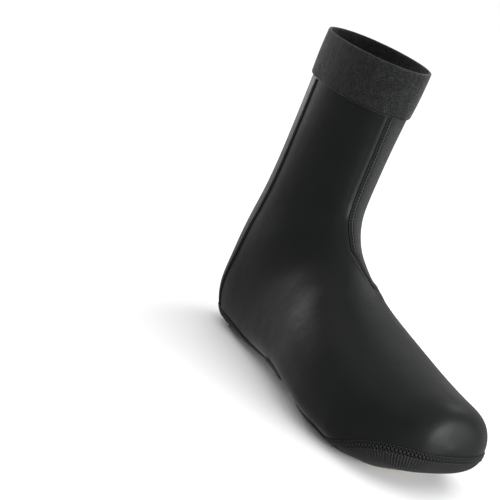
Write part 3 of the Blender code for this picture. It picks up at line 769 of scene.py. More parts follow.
ankle_stretch_panel = place_piece("ankle_stretch_panel", build_panel(), (knit_paint(), lining),
                                  ("ankle_panel",))

# Cuff.
# A doubled band of napped stretch fabric folded over the top of the neoprene and stitched down.
# Its lower edge stands about 2 mm proud, and the fold makes a soft round rim.
CUFF_PROUD = 0.0019
CUFF_RIM = 0.0021
CUFF_AROUND = 300


def napped_paint():
    """Napped cuff fabric: dark with a fine light mottle of raised fibres, lighter on the rim, and darkened
    towards its lower edge by painted shade.
    """
    paint, nodes, links, shader = new_paint("napped_cuff", (0.010, 0.011, 0.011), 0.9, 1.30)
    spot = nodes.new("ShaderNodeTexCoord").outputs["Object"]
    speckle = noise(nodes, links, spot, 1300.0, 4.0, 0.75)
    patches = noise(nodes, links, spot, 190.0, 3.0, 0.65)
    bright = ramp(nodes, links, speckle, 0.0, 1.0, 0.44, 0.70)
    colour = mix_colours(nodes, links, bright, (0.0010, 0.0011, 0.0011), (0.030, 0.032, 0.032))
    tone = nodes.new("ShaderNodeMix")
    tone.data_type = "RGBA"
    tone.blend_type = "MULTIPLY"
    tone.inputs[0].default_value = 1.0
    links.new(colour, tone.inputs[6])
    grey = nodes.new("ShaderNodeCombineColor")
    value = ramp(nodes, links, patches, 0.60, 1.30, 0.3, 0.7)
    cloth = nodes.new("ShaderNodeUVMap")
    cloth.uv_map = "cloth"
    apart = nodes.new("ShaderNodeSeparateXYZ")
    links.new(cloth.outputs["UV"], apart.inputs["Vector"])
    height = apart.outputs["Y"]
    # Painted shade: the colour falls to an eighth at the cuff's lower edge, standing in for the shadow
    # under it.
    foot_painted_shade = ramp(nodes, links, height, 0.12, 1.0, 0.0004, 0.0022)
    rim = ramp(nodes, links, height, 1.0, 2.2, CUFF_HEIGHT - 0.0022, CUFF_HEIGHT - 0.0004)
    for factor in (foot_painted_shade, rim):
        product = nodes.new("ShaderNodeMath")
        product.operation = "MULTIPLY"
        links.new(value, product.inputs[0])
        links.new(factor, product.inputs[1])
        value = product.outputs[0]
    for channel in ("Red", "Green", "Blue"):
        links.new(value, grey.inputs[channel])
    links.new(grey.outputs["Color"], tone.inputs[7])
    links.new(tone.outputs[2], shader.inputs["Base Color"])
    shader.inputs["Sheen Weight"].default_value = 0.22
    shader.inputs["Sheen Roughness"].default_value = 0.30
    relief(nodes, links, shader, ((patches, 0.0005), (speckle, 0.0005)))
    return paint


def build_cuff():
    """The cuff's closed profile of heights and distances out, carried round the shaft."""
    rim_out = CUFF_PROUD - CUFF_RIM
    mid_out = (CUFF_PROUD + rim_out) / 2.0
    radius = CUFF_RIM / 2.0
    foot = CUFF_FOOT
    top = SHAFT_HEIGHT
    corner = 0.0010
    turn = np.linspace(0.0, math.pi / 2.0, 6)
    low_round = [(foot + corner - corner * math.cos(a), CUFF_PROUD - corner + corner * math.sin(a))
                 for a in turn]
    climb = [(z, CUFF_PROUD) for z in np.linspace(foot + corner, top - radius, 40)[1:-1]]
    fold = [(top - radius + radius * math.sin(a), mid_out + radius * math.cos(a))
            for a in np.linspace(0.0, math.pi, 13)]
    fall = [(z, rim_out) for z in np.linspace(top - radius, WALL_TOP + GAP, 30)[1:]]
    lap = [(WALL_TOP + GAP, GAP), (foot, GAP)]
    profile = np.array(low_round + climb + fold + fall + lap)
    heights = np.array([place_at_height(z) for z in profile[:, 0]])
    around = np.linspace(0.0, 2.0 * math.pi, CUFF_AROUND, endpoint=False)
    share = (profile[:, 0] - foot) / (top - foot)
    bulge = 0.0004 * np.sin(np.clip(share, 0.0, 1.0) * math.pi)
    outs = profile[:, 1] + np.where(profile[:, 1] > mid_out, bulge, 0.0)
    wave = 0.00035 * np.sin(around * 5.0 + 0.7) + 0.00025 * np.sin(around * 11.0)
    grid_places = np.broadcast_to(heights[:, None], (len(profile), CUFF_AROUND))
    near_foot = bell_of(profile[:, 0] - foot, 0.004)[:, None]
    out = outs[:, None] + wave[None, :] * np.where(profile[:, 1] > mid_out, 1.0, 0.3)[:, None] \
        * (0.4 + 0.6 * near_foot)
    out = np.maximum(out, np.where(profile[:, 0] < WALL_TOP, GAP, -1.0)[:, None])
    points = surface(grid_places, around[None, :], out)
    rows, columns = out.shape
    index = np.arange(rows * columns).reshape(rows, columns)
    faces = np.stack([index, np.roll(index, -1, axis=1), np.roll(np.roll(index, -1, axis=1), -1, axis=0),
                      np.roll(index, -1, axis=0)], axis=-1).reshape(-1, 4)
    mesh = bpy.data.meshes.new("napped_cuff")
    mesh.from_pydata(points.reshape(-1, 3).tolist(), [], faces.tolist())
    cloth = np.stack([
        np.broadcast_to(around[None, :] * 0.035, (rows, columns)),
        np.broadcast_to((profile[:, 0] - foot)[:, None], (rows, columns)),
    ], axis=-1)
    layer = mesh.uv_layers.new(name="cloth")
    layer.data.foreach_set("uv", cloth.reshape(-1, 2)[faces].ravel())
    return mesh


napped_cuff = place_piece("napped_cuff", build_cuff(), (napped_paint(),), ("cuff",))

# Raised seams.
# A flatlock seam runs round the ankle panel: a dark bed of thread, its colour partly painted shade, one
# paler cord along it and cross threads. Down the rear of the lateral side two rounded lips of neoprene
# meet in a narrow groove.
SEAM_PROUD = 0.0009
SEAM_WIDTH = 0.0050
SEAM_SINK = -0.0004
REAR_WIDTH = 0.0036
REAR_PROUD = 0.0008
REAR_SEAM_FOOT = 14.35
REAR_SEAM_ROWS = (
    (0.00, -140.0), (0.07, -134.0), (0.14, -128.0), (0.21, -122.0), (0.30, -117.5),
    (0.42, -115.0), (1.00, -115.0),
)


def thread_paint(name, colour):
    """Matt polyester thread with a fine twist."""
    paint, nodes, links, shader = new_paint(name, colour, 0.62, 1.40)
    spot = nodes.new("ShaderNodeTexCoord").outputs["Object"]
    twist = noise(nodes, links, spot, 3500.0, 1.0)
    relief(nodes, links, shader, ((twist, 0.0001),))
    return paint


def seam_tape_paint():
    """The seam's bed of packed thread, its dark colour partly painted shade for the gaps between the
    stitches: darker than the cloth on both sides, with a woven relief.
    """
    paint, nodes, links, shader = new_paint("seam_bed_and_shade", (0.0016, 0.0017, 0.0017), 0.9, 1.12)
    spot = nodes.new("ShaderNodeTexCoord").outputs["Object"]
    weave = noise(nodes, links, spot, 1700.0, 2.0)
    relief(nodes, links, shader, ((weave, 0.0003),))
    return paint


thread = thread_paint("seam_thread", (0.007, 0.0074, 0.0074))
pale_thread = thread_paint("seam_cord", (0.032, 0.034, 0.034))
dark_thread = thread_paint("seam_dark_thread", (0.0025, 0.0026, 0.0026))
seam_bed_and_shade = seam_tape_paint()

# Offsets across half a seam and heights of its outer face, one row for each sort of ridge.
FLAT_RIDGE = (
    (-1.0, 0.15), (-0.94, 0.62), (-0.75, 0.92), (-0.4, 1.0), (0.0, 0.94),
    (0.4, 1.0), (0.75, 0.92), (0.94, 0.62), (1.0, 0.15),
)
TWIN_LIPS = (
    (-1.0, 0.10), (-0.90, 0.55), (-0.74, 0.90), (-0.52, 1.0), (-0.30, 0.85), (-0.12, 0.40),
    (0.0, 0.08), (0.12, 0.40), (0.30, 0.85), (0.52, 1.0), (0.74, 0.90), (0.90, 0.55), (1.0, 0.10),
)


def path_frame(places, turns, out):
    """Points along a path on the surface, with unit directions ahead, sideways and outwards."""
    points = surface(places, turns, out)
    ahead = np.gradient(points, axis=0)
    ahead = ahead / np.maximum(np.linalg.norm(ahead, axis=1, keepdims=True), 1e-12)
    normal = outward(places, turns)
    sideways = np.cross(normal, ahead)
    sideways = sideways / np.linalg.norm(sideways, axis=1, keepdims=True)
    return points, ahead, sideways, normal


def even_path(places, turns, out, pitch):
    """A path resampled at an even pitch along its length: its places and turns."""
    points = surface(places, turns, out)
    run = np.cumsum(np.concatenate([[0.0], np.linalg.norm(np.diff(points, axis=0), axis=1)]))
    wanted = np.arange(0.0, run[-1], pitch)
    return np.interp(wanted, run, places), np.interp(wanted, run, turns)


def ridge_mesh(name, places, turns, width, rise, sink, profile=FLAT_RIDGE):
    """A low ridge along a path: a profile of offsets sideways and outwards, with capped ends."""
    points, ahead, sideways, normal = path_frame(places, turns, 0.0)
    across, up = np.array(profile + ((1.0, 0.0), (0.0, 0.0), (-1.0, 0.0))).T
    up = up * (rise - sink)
    half = width / 2.0
    grid = points[:, None] + sideways[:, None] * (across * half)[None, :, None] \
        + normal[:, None] * (sink + up)[None, :, None]
    rows, columns = grid.shape[:2]
    index = np.arange(rows * columns).reshape(rows, columns)
    ring = np.roll(index, -1, axis=1)
    faces = np.stack([index[:-1], ring[:-1], ring[1:], index[1:]], axis=-1).reshape(-1, 4).tolist()
    faces += [index[0].tolist(), index[-1, ::-1].tolist()]
    mesh = bpy.data.meshes.new(name)
    mesh.from_pydata(grid.reshape(-1, 3).tolist(), [], faces)
    return mesh


def stitch_mesh(name, starts, ends, normals, radius, lift):
    """Short plump threads as one mesh: spindles from starts to ends that bow out in the middle."""
    share = np.array([0.0, 0.12, 0.35, 0.65, 0.88, 1.0])
    girth = np.array([0.35, 0.85, 1.0, 1.0, 0.85, 0.35]) * radius
    bow = np.sin(share * math.pi) * lift
    ahead = ends - starts
    ahead = ahead / np.maximum(np.linalg.norm(ahead, axis=1, keepdims=True), 1e-12)
    side = np.cross(ahead, normals)
    side = side / np.maximum(np.linalg.norm(side, axis=1, keepdims=True), 1e-12)
    up = np.cross(side, ahead)
    centre = starts[:, None] + (ends - starts)[:, None] * share[None, :, None] \
        + normals[:, None] * bow[None, :, None]
    turn = np.linspace(0.0, 2.0 * math.pi, 6, endpoint=False)
    ring = side[:, None, None] * np.cos(turn)[None, None, :, None] \
        + up[:, None, None] * np.sin(turn)[None, None, :, None]
    points = centre[:, :, None] + ring * girth[None, :, None, None]
    count, rings, sides = points.shape[:3]
    index = np.arange(count * rings * sides).reshape(count, rings, sides)
    round_on = np.roll(index, -1, axis=2)
    faces = np.stack([index[:, :-1], round_on[:, :-1], round_on[:, 1:], index[:, 1:]], axis=-1)
    faces = faces.reshape(-1, 4).tolist()
    faces += index[:, 0, ::-1].tolist() + index[:, -1].tolist()
    mesh = bpy.data.meshes.new(name)
    mesh.from_pydata(points.reshape(-1, 3).tolist(), [], faces)
    return mesh


def row_stitches(points, sideways, normal, offset, height, fill):
    """Starts, ends and normals of a straight row of stitches beside a path."""
    line = points + sideways * offset + normal * height
    starts = line[:-1]
    step = line[1:] - line[:-1]
    return starts + step * (1.0 - fill) / 2.0, starts + step * (1.0 + fill) / 2.0, normal[:-1]


def cover_stitches(points, sideways, normal, half, height):
    """Starts, ends and normals of cross threads that zigzag between the two rows."""
    left = points - sideways * half + normal * height
    right = points + sideways * half + normal * height
    starts = np.concatenate([left[:-1], right[:-1]])
    ends = np.concatenate([right[1:], left[1:]])
    return starts, ends, np.concatenate([normal[:-1], normal[:-1]])


def together(*runs):
    """Several runs of stitches joined into one."""
    return tuple(np.concatenate(parts) for parts in zip(*runs))


def panel_seam_path(pitch):
    """The path round the panel: down its front edge, round the tip and up its medial edge."""
    top = place_at_height(CUFF_FOOT - 0.0006)
    down = np.linspace(top, PANEL_TIP + 0.12, 400)
    tip_turn = np.linspace(panel_edge(np.array([PANEL_TIP]), 1)[0],
                           panel_edge(np.array([PANEL_TIP]), 2)[0], 12)[1:-1]
    tip_place = PANEL_TIP + 0.02 - 0.05 * np.sin(np.linspace(0.0, math.pi, 10))
    places = np.concatenate([down, tip_place, down[::-1]])
    turns = np.concatenate([panel_edge(down, 1), tip_turn, panel_edge(down[::-1], 2)])
    return even_path(places, turns, 0.0, pitch)


CORD_SIDE = 0.16
seam_places, seam_turns = panel_seam_path(0.0012)
panel_seam = place_piece(
    "panel_seam",
    ridge_mesh("panel_seam", seam_places, seam_turns, SEAM_WIDTH, SEAM_PROUD * 0.3, SEAM_SINK),
    (seam_bed_and_shade,), ("ankle_seam",))
stitch_places, stitch_turns = panel_seam_path(0.0024)
points, ahead, sideways, normal = path_frame(stitch_places, stitch_turns, 0.0)
cord_run = row_stitches(points, sideways, normal, SEAM_WIDTH * CORD_SIDE, SEAM_PROUD * 0.30, 1.0)
panel_cord = place_piece(
    "panel_cord", stitch_mesh("panel_cord", *cord_run, 0.00042, 0.0001), (pale_thread,))
seam_runs = together(
    row_stitches(points, sideways, normal, -SEAM_WIDTH * 0.42, SEAM_PROUD * 0.20, 0.86),
    row_stitches(points, sideways, normal, SEAM_WIDTH * CORD_SIDE * 2.6, SEAM_PROUD * 0.20, 0.70),
)
panel_rows = place_piece(
    "panel_rows", stitch_mesh("panel_rows", *seam_runs, 0.00030, 0.0001), (dark_thread,))
panel_stitches = place_piece(
    "panel_stitches",
    stitch_mesh("panel_stitches", *cover_stitches(points, sideways, normal, SEAM_WIDTH * 0.40,
                                                  SEAM_PROUD * 0.15), 0.00024, 0.0002),
    (thread,))


def rear_seam_path(pitch):
    """The path of the rear seam from under the cuff down to the heel sole."""
    rows = np.array(REAR_SEAM_ROWS)
    climb = np.linspace(1.0, 0.0, 500)
    span = CUFF_PLACE - REAR_SEAM_FOOT
    places = REAR_SEAM_FOOT + climb * span
    degrees = np.interp(climb, rows[:, 0], rows[:, 1])
    bell = np.exp(-0.5 * (np.arange(-30, 31) / 12.0) ** 2)
    degrees = np.convolve(np.pad(degrees, 30, mode="edge"), bell / bell.sum(), "valid")
    top = place_at_height(CUFF_FOOT - 0.0006)
    kept = places <= top
    return even_path(places[kept], np.radians(degrees[kept]), 0.0, pitch)


seam_places, seam_turns = rear_seam_path(0.0012)
rear_seam = place_piece(
    "rear_seam_ridge",
    ridge_mesh("rear_seam_ridge", seam_places, seam_turns, REAR_WIDTH, REAR_PROUD, SEAM_SINK, TWIN_LIPS),
    (neoprene,), ("rear_seam",))
stitch_places, stitch_turns = rear_seam_path(0.0026)
points, ahead, sideways, normal = path_frame(stitch_places, stitch_turns, 0.0)
rear_run = row_stitches(points, sideways, normal, 0.0, -0.0002, 0.80)
rear_stitches = place_piece(
    "rear_stitches", stitch_mesh("rear_stitches", *rear_run, 0.00030, 0.0001),
    (dark_thread,))

# Toe and heel soles.
# Cups of coarse ribbed mesh fabric under the toe and the heel, sewn to the neoprene round the
# sides and cut out in the middle for the cleat and the heel pad.
SOLE_WALL = 0.0022
SOLE_COLUMNS = 60


def ribbed_paint(name):
    """Ribbed mesh fabric: fine ribs that stand square to the seam, and a diamond mesh."""
    paint, nodes, links, shader = new_paint(name, (0.010, 0.0105, 0.011), 0.70, 1.28)
    spot = nodes.new("ShaderNodeTexCoord").outputs["Object"]
    cloth = nodes.new("ShaderNodeUVMap")
    cloth.uv_map = "cloth"
    ribs = nodes.new("ShaderNodeTexWave")
    ribs.bands_direction = "X"
    ribs.inputs["Scale"].default_value = math.pi * 2.0 / 0.0022 / 20.0
    links.new(cloth.outputs["UV"], ribs.inputs["Vector"])
    cells = nodes.new("ShaderNodeTexVoronoi")
    cells.inputs["Scale"].default_value = 620.0
    links.new(spot, cells.inputs["Vector"])
    links.new(mix_colours(nodes, links, ribs.outputs["Fac"], (0.0030, 0.0032, 0.0033),
                          (0.0110, 0.0116, 0.0118)), shader.inputs["Base Color"])
    relief(nodes, links, shader, ((ribs.outputs["Fac"], 0.0005), (cells.outputs["Distance"], 0.0004)))
    return paint


def sole_relief(points, seam_rows, size):
    """The sole's height: a dip beside the seam, so that sole and upper meet in a groove."""
    away = points[..., 2] - seam_height(points[..., 0], seam_rows, size)
    return -SEAM_DIP * bell_of(away, SEAM_DIP_WIDTH)


def side_path(side_of, start, end, close_low):
    """The seam line of a sole from its lateral end round to its medial end."""
    if close_low:
        places = rows_between(start, end, 260, tight_start=True)
        lateral = places[::-1]
        medial = places[1:]
    else:
        places = rows_between(start, end, 260, tight_end=True)
        lateral = places
        medial = places[::-1][1:]
    turns = np.concatenate([2.0 * math.pi - side_of(lateral, -1), side_of(medial, 1)])
    return np.concatenate([lateral, medial]), turns


def run_along(points, line):
    """For each point, the length along a line to the line's nearest spot, and the distance to it."""
    gaps = np.linalg.norm(np.diff(line, axis=0), axis=1)
    run = np.concatenate([[0.0], np.cumsum(gaps)])
    ahead = np.gradient(line, axis=0)
    ahead = ahead / np.maximum(np.linalg.norm(ahead, axis=1, keepdims=True), 1e-12)
    lengths = np.empty(points.shape[:-1])
    away = np.empty(points.shape[:-1])
    for row, spots in enumerate(points):
        apart = np.linalg.norm(spots[:, None] - line[None], axis=-1)
        nearest = np.argmin(apart, axis=1)
        lengths[row] = run[nearest] + np.sum((spots - line[nearest]) * ahead[nearest], axis=1)
        away[row] = apart.min(axis=1)
    return lengths, away


def build_sole(name, places, side_of, seam_rows, size, closed, seam_ends):
    """A sole as one grid from its lateral seam under to its medial seam, open at the opening."""
    medial = side_of(places, 1)
    lateral = 2.0 * math.pi - side_of(places, -1)
    open_medial = opening_side(places, 1)
    open_lateral = 2.0 * math.pi - opening_side(places, -1)
    half = SOLE_COLUMNS // 2
    turns = np.concatenate([
        even_turns(places, medial, open_medial, half),
        even_turns(places, open_lateral, lateral, half),
    ], axis=1)
    grid_places = np.broadcast_to(places[:, None], turns.shape)
    bare = last_surface(grid_places, turns)
    outer = surface(grid_places, turns, sole_relief(bare, seam_rows, size))
    inner = surface(grid_places, turns, -SOLE_WALL)
    rows, columns = turns.shape
    keep = np.ones((rows - 1, columns - 1), bool)
    keep[:, half] = False
    index = np.arange(rows * columns).reshape(rows, columns)
    shut = open_medial >= math.pi - 1e-6
    index[shut, half + 1] = index[shut, half]
    index[closed(places), :] = index[closed(places), :1]
    path_places, path_turns = even_path(*side_path(side_of, *seam_ends), 0.0, 0.0004)
    cloth = np.stack(run_along(bare, last_surface(path_places, path_turns)), axis=-1)
    return sheet_mesh(name, outer, inner, keep, index, cloth, inner_paint=1)


toe_places = join_rows(
    rows_between(TOE_CLOSE, 2.0, 34, tight_start=True),
    rows_between(2.0, OPEN_FRONT, 30),
    rows_between(OPEN_FRONT, TOE_END, 26, tight_start=True),
)
TOE_SEAM_ENDS = (TOE_CLOSE, TOE_END, True)
HEEL_SEAM_ENDS = (HEEL_START, HEEL_CLOSE, False)
ribbed_mesh = ribbed_paint("ribbed_mesh")
toe_sole_cup = place_piece(
    "toe_sole_cup",
    build_sole("toe_sole_cup", toe_places, toe_side, TOE_SEAM, TOE_SPRING,
               lambda t: t <= TOE_CLOSE + 1e-9, TOE_SEAM_ENDS),
    (ribbed_mesh, lining), ("toe_sole",))
heel_places = join_rows(
    rows_between(HEEL_START, OPEN_BACK, 40, tight_end=True),
    rows_between(OPEN_BACK, HEEL_CLOSE, 34, tight_end=True),
)
heel_sole_cup = place_piece(
    "heel_sole_cup",
    build_sole("heel_sole_cup", heel_places, heel_side, HEEL_SEAM, HEEL_HEIGHT,
               lambda t: t >= HEEL_CLOSE - 1e-9, HEEL_SEAM_ENDS),
    (ribbed_mesh, lining), ("heel_sole",))
COVER_HALF = 0.0026
COVER_PITCH = 0.0027


def sole_bed(name, side_of, seam_ends):
    """The flat dark band of packed thread under a cover seam, its colour partly painted shade between the
    stitches.
    """
    places, turns = even_path(*side_path(side_of, *seam_ends), 0.0, 0.0012)
    mesh = ridge_mesh(name, places, turns, 2.0 * COVER_HALF, 0.00012, -0.0009)
    return place_piece(name, mesh, (seam_bed_and_shade,))


def sole_stitches(name, side_of, seam_ends):
    """A cover seam over the joint of sole and upper: two rows and the zigzag between them."""
    places, turns = even_path(*side_path(side_of, *seam_ends), 0.0, COVER_PITCH)
    points, ahead, sideways, normal = path_frame(places, turns, 0.0)
    runs = together(
        row_stitches(points, sideways, normal, -COVER_HALF, 0.0001, 0.84),
        row_stitches(points, sideways, normal, 0.0, 0.0002, 0.84),
        row_stitches(points, sideways, normal, COVER_HALF, 0.0001, 0.84),
        cover_stitches(points, sideways, normal, COVER_HALF * 0.92, 0.0001),
    )
    return place_piece(name, stitch_mesh(name, *runs, 0.00030, 0.0003), (thread,))


toe_seam_bed = sole_bed("toe_seam_bed", toe_side, TOE_SEAM_ENDS)
heel_seam_bed = sole_bed("heel_seam_bed", heel_side, HEEL_SEAM_ENDS)
toe_stitches = sole_stitches("toe_stitches", toe_side, TOE_SEAM_ENDS)
heel_stitches = sole_stitches("heel_stitches", heel_side, HEEL_SEAM_ENDS)

# Abrasion patch.
# A half-oval of coarse woven fabric, sewn under the toe where the cover is walked on. It starts
# at the tape round the cleat opening.
TAPE_WIDTH = 0.0075
PATCH_LENGTH = 0.022
PATCH_WIDTH = 0.056
PATCH_PROUD = 0.0008


def sole_spot(x, y):
    """The place and turn of the point of the underside at x and y, by stepping to it."""
    places = np.interp(-x, -(section_values(np.linspace(0, 16, 1600))[:, 0] - LENGTH / 2.0),
                       np.linspace(0, 16, 1600))
    turns = np.full_like(places, math.pi)
    for _ in range(25):
        rows = section_values(places)
        width = np.where(y >= 0.0, rows[..., 5], rows[..., 4])
        climb = np.clip((places - SHAFT_START + 4.0) / 4.0, 0.0, 1.0)
        power = SOLE_POWER + (SHAFT_POWER - SOLE_POWER) * climb
        side = np.clip(np.abs(y) / width, 0.0, 0.999) ** (power / 2.0)
        turns = math.pi - np.sign(y) * np.arcsin(side)
        here = last_surface(places, turns)[..., 0]
        ahead = last_surface(places + 0.01, turns)[..., 0]
        places = places - np.clip((here - x) / ((ahead - here) / 0.01), -0.3, 0.3)
    return places, turns


def woven_paint():
    """Coarse plain weave in khaki yarn with dark gaps."""
    paint, nodes, links, shader = new_paint("khaki_weave", (0.215, 0.190, 0.140), 0.85, 1.40)
    cloth = nodes.new("ShaderNodeUVMap")
    cloth.uv_map = "cloth"
    waves = []
    for direction in ("X", "Y"):
        wave = nodes.new("ShaderNodeTexWave")
        wave.bands_direction = direction
        wave.inputs["Scale"].default_value = math.pi * 2.0 / 0.0013 / 20.0
        wave.inputs["Distortion"].default_value = 0.4
        wave.inputs["Detail Scale"].default_value = 2.0
        links.new(cloth.outputs["UV"], wave.inputs["Vector"])
        waves.append(wave.outputs["Fac"])
    product = nodes.new("ShaderNodeMath")
    product.operation = "MULTIPLY"
    links.new(waves[0], product.inputs[0])
    links.new(waves[1], product.inputs[1])
    links.new(mix_colours(nodes, links, ramp(nodes, links, product.outputs[0], 0.0, 1.0, 0.05, 0.5),
                          (0.045, 0.040, 0.030), (0.30, 0.265, 0.195)), shader.inputs["Base Color"])
    relief(nodes, links, shader, ((product.outputs[0], 0.0005),))
    return paint


def build_patch():
    """The patch as a grid across and along: its front edge is half an oval in plan."""
    back = float(OPENING[:, 0].max()) + TAPE_WIDTH * 0.6
    front = (OPENING_ROWS[0][0] - 0.5) * LENGTH + TAPE_WIDTH + GAP + PATCH_LENGTH
    across = np.sin(np.linspace(-math.pi / 2.0, math.pi / 2.0, 61)) * PATCH_WIDTH / 2.0
    reach = (front - back) * np.sqrt(np.maximum(1.0 - (across / (PATCH_WIDTH / 2.0)) ** 2, 0.0))
    y_tape, x_tape = tape_front_line(across)
    start = np.minimum(x_tape, back + reach)
    share = np.linspace(0.0, 1.0, 31)
    x = start[None, :] + (np.maximum(back + reach, start) - start)[None, :] * share[:, None]
    y = np.broadcast_to(across[None, :], x.shape)
    places, turns = sole_spot(x, y)
    edge = np.minimum(back + reach - x, 0.004)
    rounded = PATCH_PROUD * (1.0 - bell_of(edge, 0.0012) * 0.6)
    outer = surface(places, turns, rounded)
    inner = surface(places, turns, GAP * 0.5)
    keep = np.ones((30, 60), bool)
    index = np.arange(x.size).reshape(x.shape)
    return sheet_mesh("abrasion_patch", outer, inner, keep, index, np.stack([x, y], axis=-1))


def tape_front_line(across):
    """The x of the tape's outer edge in front of the opening, for each y."""
    loop = outline_loop(TAPE_WIDTH + GAP, 600)
    front = loop[loop[:, 0] > loop[:, 0].max() - 0.03]
    front = front[np.argsort(front[:, 1])]
    return across, np.interp(across, front[:, 1], front[:, 0])


def outline_loop(margin, count):
    """The opening's outline moved outwards by a margin, resampled evenly, starting at the rear."""
    loop = OPENING
    ahead = np.roll(loop, -1, axis=0) - np.roll(loop, 1, axis=0)
    ahead = ahead / np.linalg.norm(ahead, axis=1, keepdims=True)
    out = np.stack([ahead[:, 1], -ahead[:, 0]], axis=1)
    if np.sum(out * (loop - loop.mean(axis=0))) < 0.0:
        out = -out
    moved = loop + out * margin
    first = int(np.argmin(moved[:, 0]))
    moved = np.roll(moved, -first, axis=0)
    ring = np.concatenate([moved, moved[:1]])
    run = np.cumsum(np.concatenate([[0.0], np.linalg.norm(np.diff(ring, axis=0), axis=1)]))
    wanted = np.linspace(0.0, run[-1], count, endpoint=False)
    return np.stack([np.interp(wanted, run, ring[:, 0]), np.interp(wanted, run, ring[:, 1])], axis=1)


abrasion_patch = place_piece("abrasion_patch", build_patch(), (woven_paint(),),
                             ("toe_patch",))

# Binding tapes.
# Woven tape folded over the cut edge of the opening, in front of the strap and behind it, and
# sewn down with two rows of stitches.
STRAP_WIDTH = 0.030
STRAP_PROUD = 0.0020
STRAP_MIDDLE = (0.438 - 0.5) * LENGTH
STRAP_SIDE_HEIGHT = 0.014
BINDING_AROUND = 700


def tape_paint():
    """Black woven binding tape with a fine cross rib."""
    paint, nodes, links, shader = new_paint("binding_tape", (0.015, 0.015, 0.0145), 0.78, 1.42)
    cloth = nodes.new("ShaderNodeUVMap")
    cloth.uv_map = "cloth"
    rib = nodes.new("ShaderNodeTexWave")
    rib.bands_direction = "X"
    rib.inputs["Scale"].default_value = math.pi * 2.0 / 0.0009 / 20.0
    rib.inputs["Distortion"].default_value = 0.3
    links.new(cloth.outputs["UV"], rib.inputs["Vector"])
    links.new(mix_colours(nodes, links, rib.outputs["Fac"], (0.009, 0.009, 0.009),
                          (0.024, 0.024, 0.023)), shader.inputs["Base Color"])
    relief(nodes, links, shader, ((rib.outputs["Fac"], 0.00035),))
    return paint


def tape_points(margins, outs, count):
    """Points of the tape: the outline moved by each margin, at each distance out from the last."""
    rings = []
    for margin, out in zip(margins, outs):
        loop = outline_loop(max(margin, 0.0), count)
        places, turns = sole_spot(loop[:, 0], loop[:, 1])
        rings.append(surface(places, turns, out))
    return np.stack(rings, axis=1)


def build_tape(name, ahead_of_strap):
    """One folded tape: a closed hook profile carried along the opening's edge to the strap."""
    width = TAPE_WIDTH
    wall = SOLE_WALL
    margins = np.array([width, width, width - 0.0006, width * 0.6, width * 0.3, 0.0008, 0.0, 0.0, 0.0,
                        0.0008, width * 0.6, width, width, 0.0012, 0.0012])
    outs = np.array([GAP, TAPE_PROUD - 0.0004, TAPE_PROUD, TAPE_PROUD, TAPE_PROUD, TAPE_PROUD,
                     TAPE_PROUD - 0.0008, -wall / 2.0, -wall - 0.0008, -wall - 0.0015, -wall - 0.0015,
                     -wall - 0.0015, -wall - GAP, -wall - GAP, GAP])
    grid = tape_points(margins, outs, BINDING_AROUND)
    loop = outline_loop(0.0, BINDING_AROUND)
    if ahead_of_strap:
        inside = loop[:, 0] > STRAP_MIDDLE + STRAP_WIDTH / 2.0 - 0.006
        order = np.nonzero(inside)[0]
    else:
        inside = loop[:, 0] < STRAP_MIDDLE - STRAP_WIDTH / 2.0 + 0.006
        order = np.concatenate([np.nonzero(inside)[0][np.nonzero(inside)[0] > BINDING_AROUND // 2],
                                np.nonzero(inside)[0][np.nonzero(inside)[0] <= BINDING_AROUND // 2]])
    grid = grid[order]
    rows, columns = grid.shape[:2]
    run = np.cumsum(np.concatenate([[0.0], np.linalg.norm(np.diff(loop[order], axis=0), axis=1)]))
    index = np.arange(rows * columns).reshape(rows, columns)
    ring = np.roll(index, -1, axis=1)
    faces = np.stack([index[:-1], ring[:-1], ring[1:], index[1:]], axis=-1).reshape(-1, 4)
    cloth = np.stack([np.broadcast_to(run[:, None], (rows, columns)),
                      np.broadcast_to(np.arange(columns)[None, :] * 0.001, (rows, columns))], axis=-1)
    corner_cloth = cloth.reshape(-1, 2)[faces]
    caps = [index[0].tolist(), index[-1, ::-1].tolist()]
    mesh = bpy.data.meshes.new(name)
    mesh.from_pydata(grid.reshape(-1, 3).tolist(), [], faces.tolist() + caps)
    layer = mesh.uv_layers.new(name="cloth")
    cap_cloth = np.concatenate([cloth.reshape(-1, 2)[np.array(cap)] for cap in caps])
    layer.data.foreach_set("uv", np.concatenate([corner_cloth.reshape(-1, 2), cap_cloth]).ravel())
    return mesh, order


tape = tape_paint()
cleat_mesh, cleat_order = build_tape("cleat_tape", True)
cleat_tape = place_piece("cleat_tape", cleat_mesh, (tape,), ("cleat_binding",))
heel_mesh, heel_order = build_tape("heel_tape", False)
heel_tape = place_piece("heel_tape", heel_mesh, (tape,), ("heel_binding",))


def tape_stitches(name, order):
    """Two rows of stitches along a tape."""
    runs = []
    for margin in (TAPE_WIDTH * 0.28, TAPE_WIDTH * 0.78):
        loop = outline_loop(margin, BINDING_AROUND)[order]
        run = np.cumsum(np.concatenate([[0.0], np.linalg.norm(np.diff(loop, axis=0), axis=1)]))
        wanted = np.arange(0.001, run[-1], 0.0027)
        x = np.interp(wanted, run, loop[:, 0])
        y = np.interp(wanted, run, loop[:, 1])
        places, turns = sole_spot(x, y)
        line = surface(places, turns, TAPE_PROUD - 0.00030)
        normals = outward(places, turns)
        step = line[1:] - line[:-1]
        runs.append((line[:-1] + step * 0.1, line[:-1] + step * 0.84, normals[:-1]))
    return place_piece(name, stitch_mesh(name, *together(*runs), 0.00025, 0.0),
                       (thread,))


cleat_stitches = tape_stitches("cleat_stitches", cleat_order)
heel_tape_stitches = tape_stitches("heel_tape_stitches", heel_order)

# Arch strap.
# One plain band of elastic web across the opening under the arch, sewn to the upper on both
# sides. It holds the cover down in front of the heel.


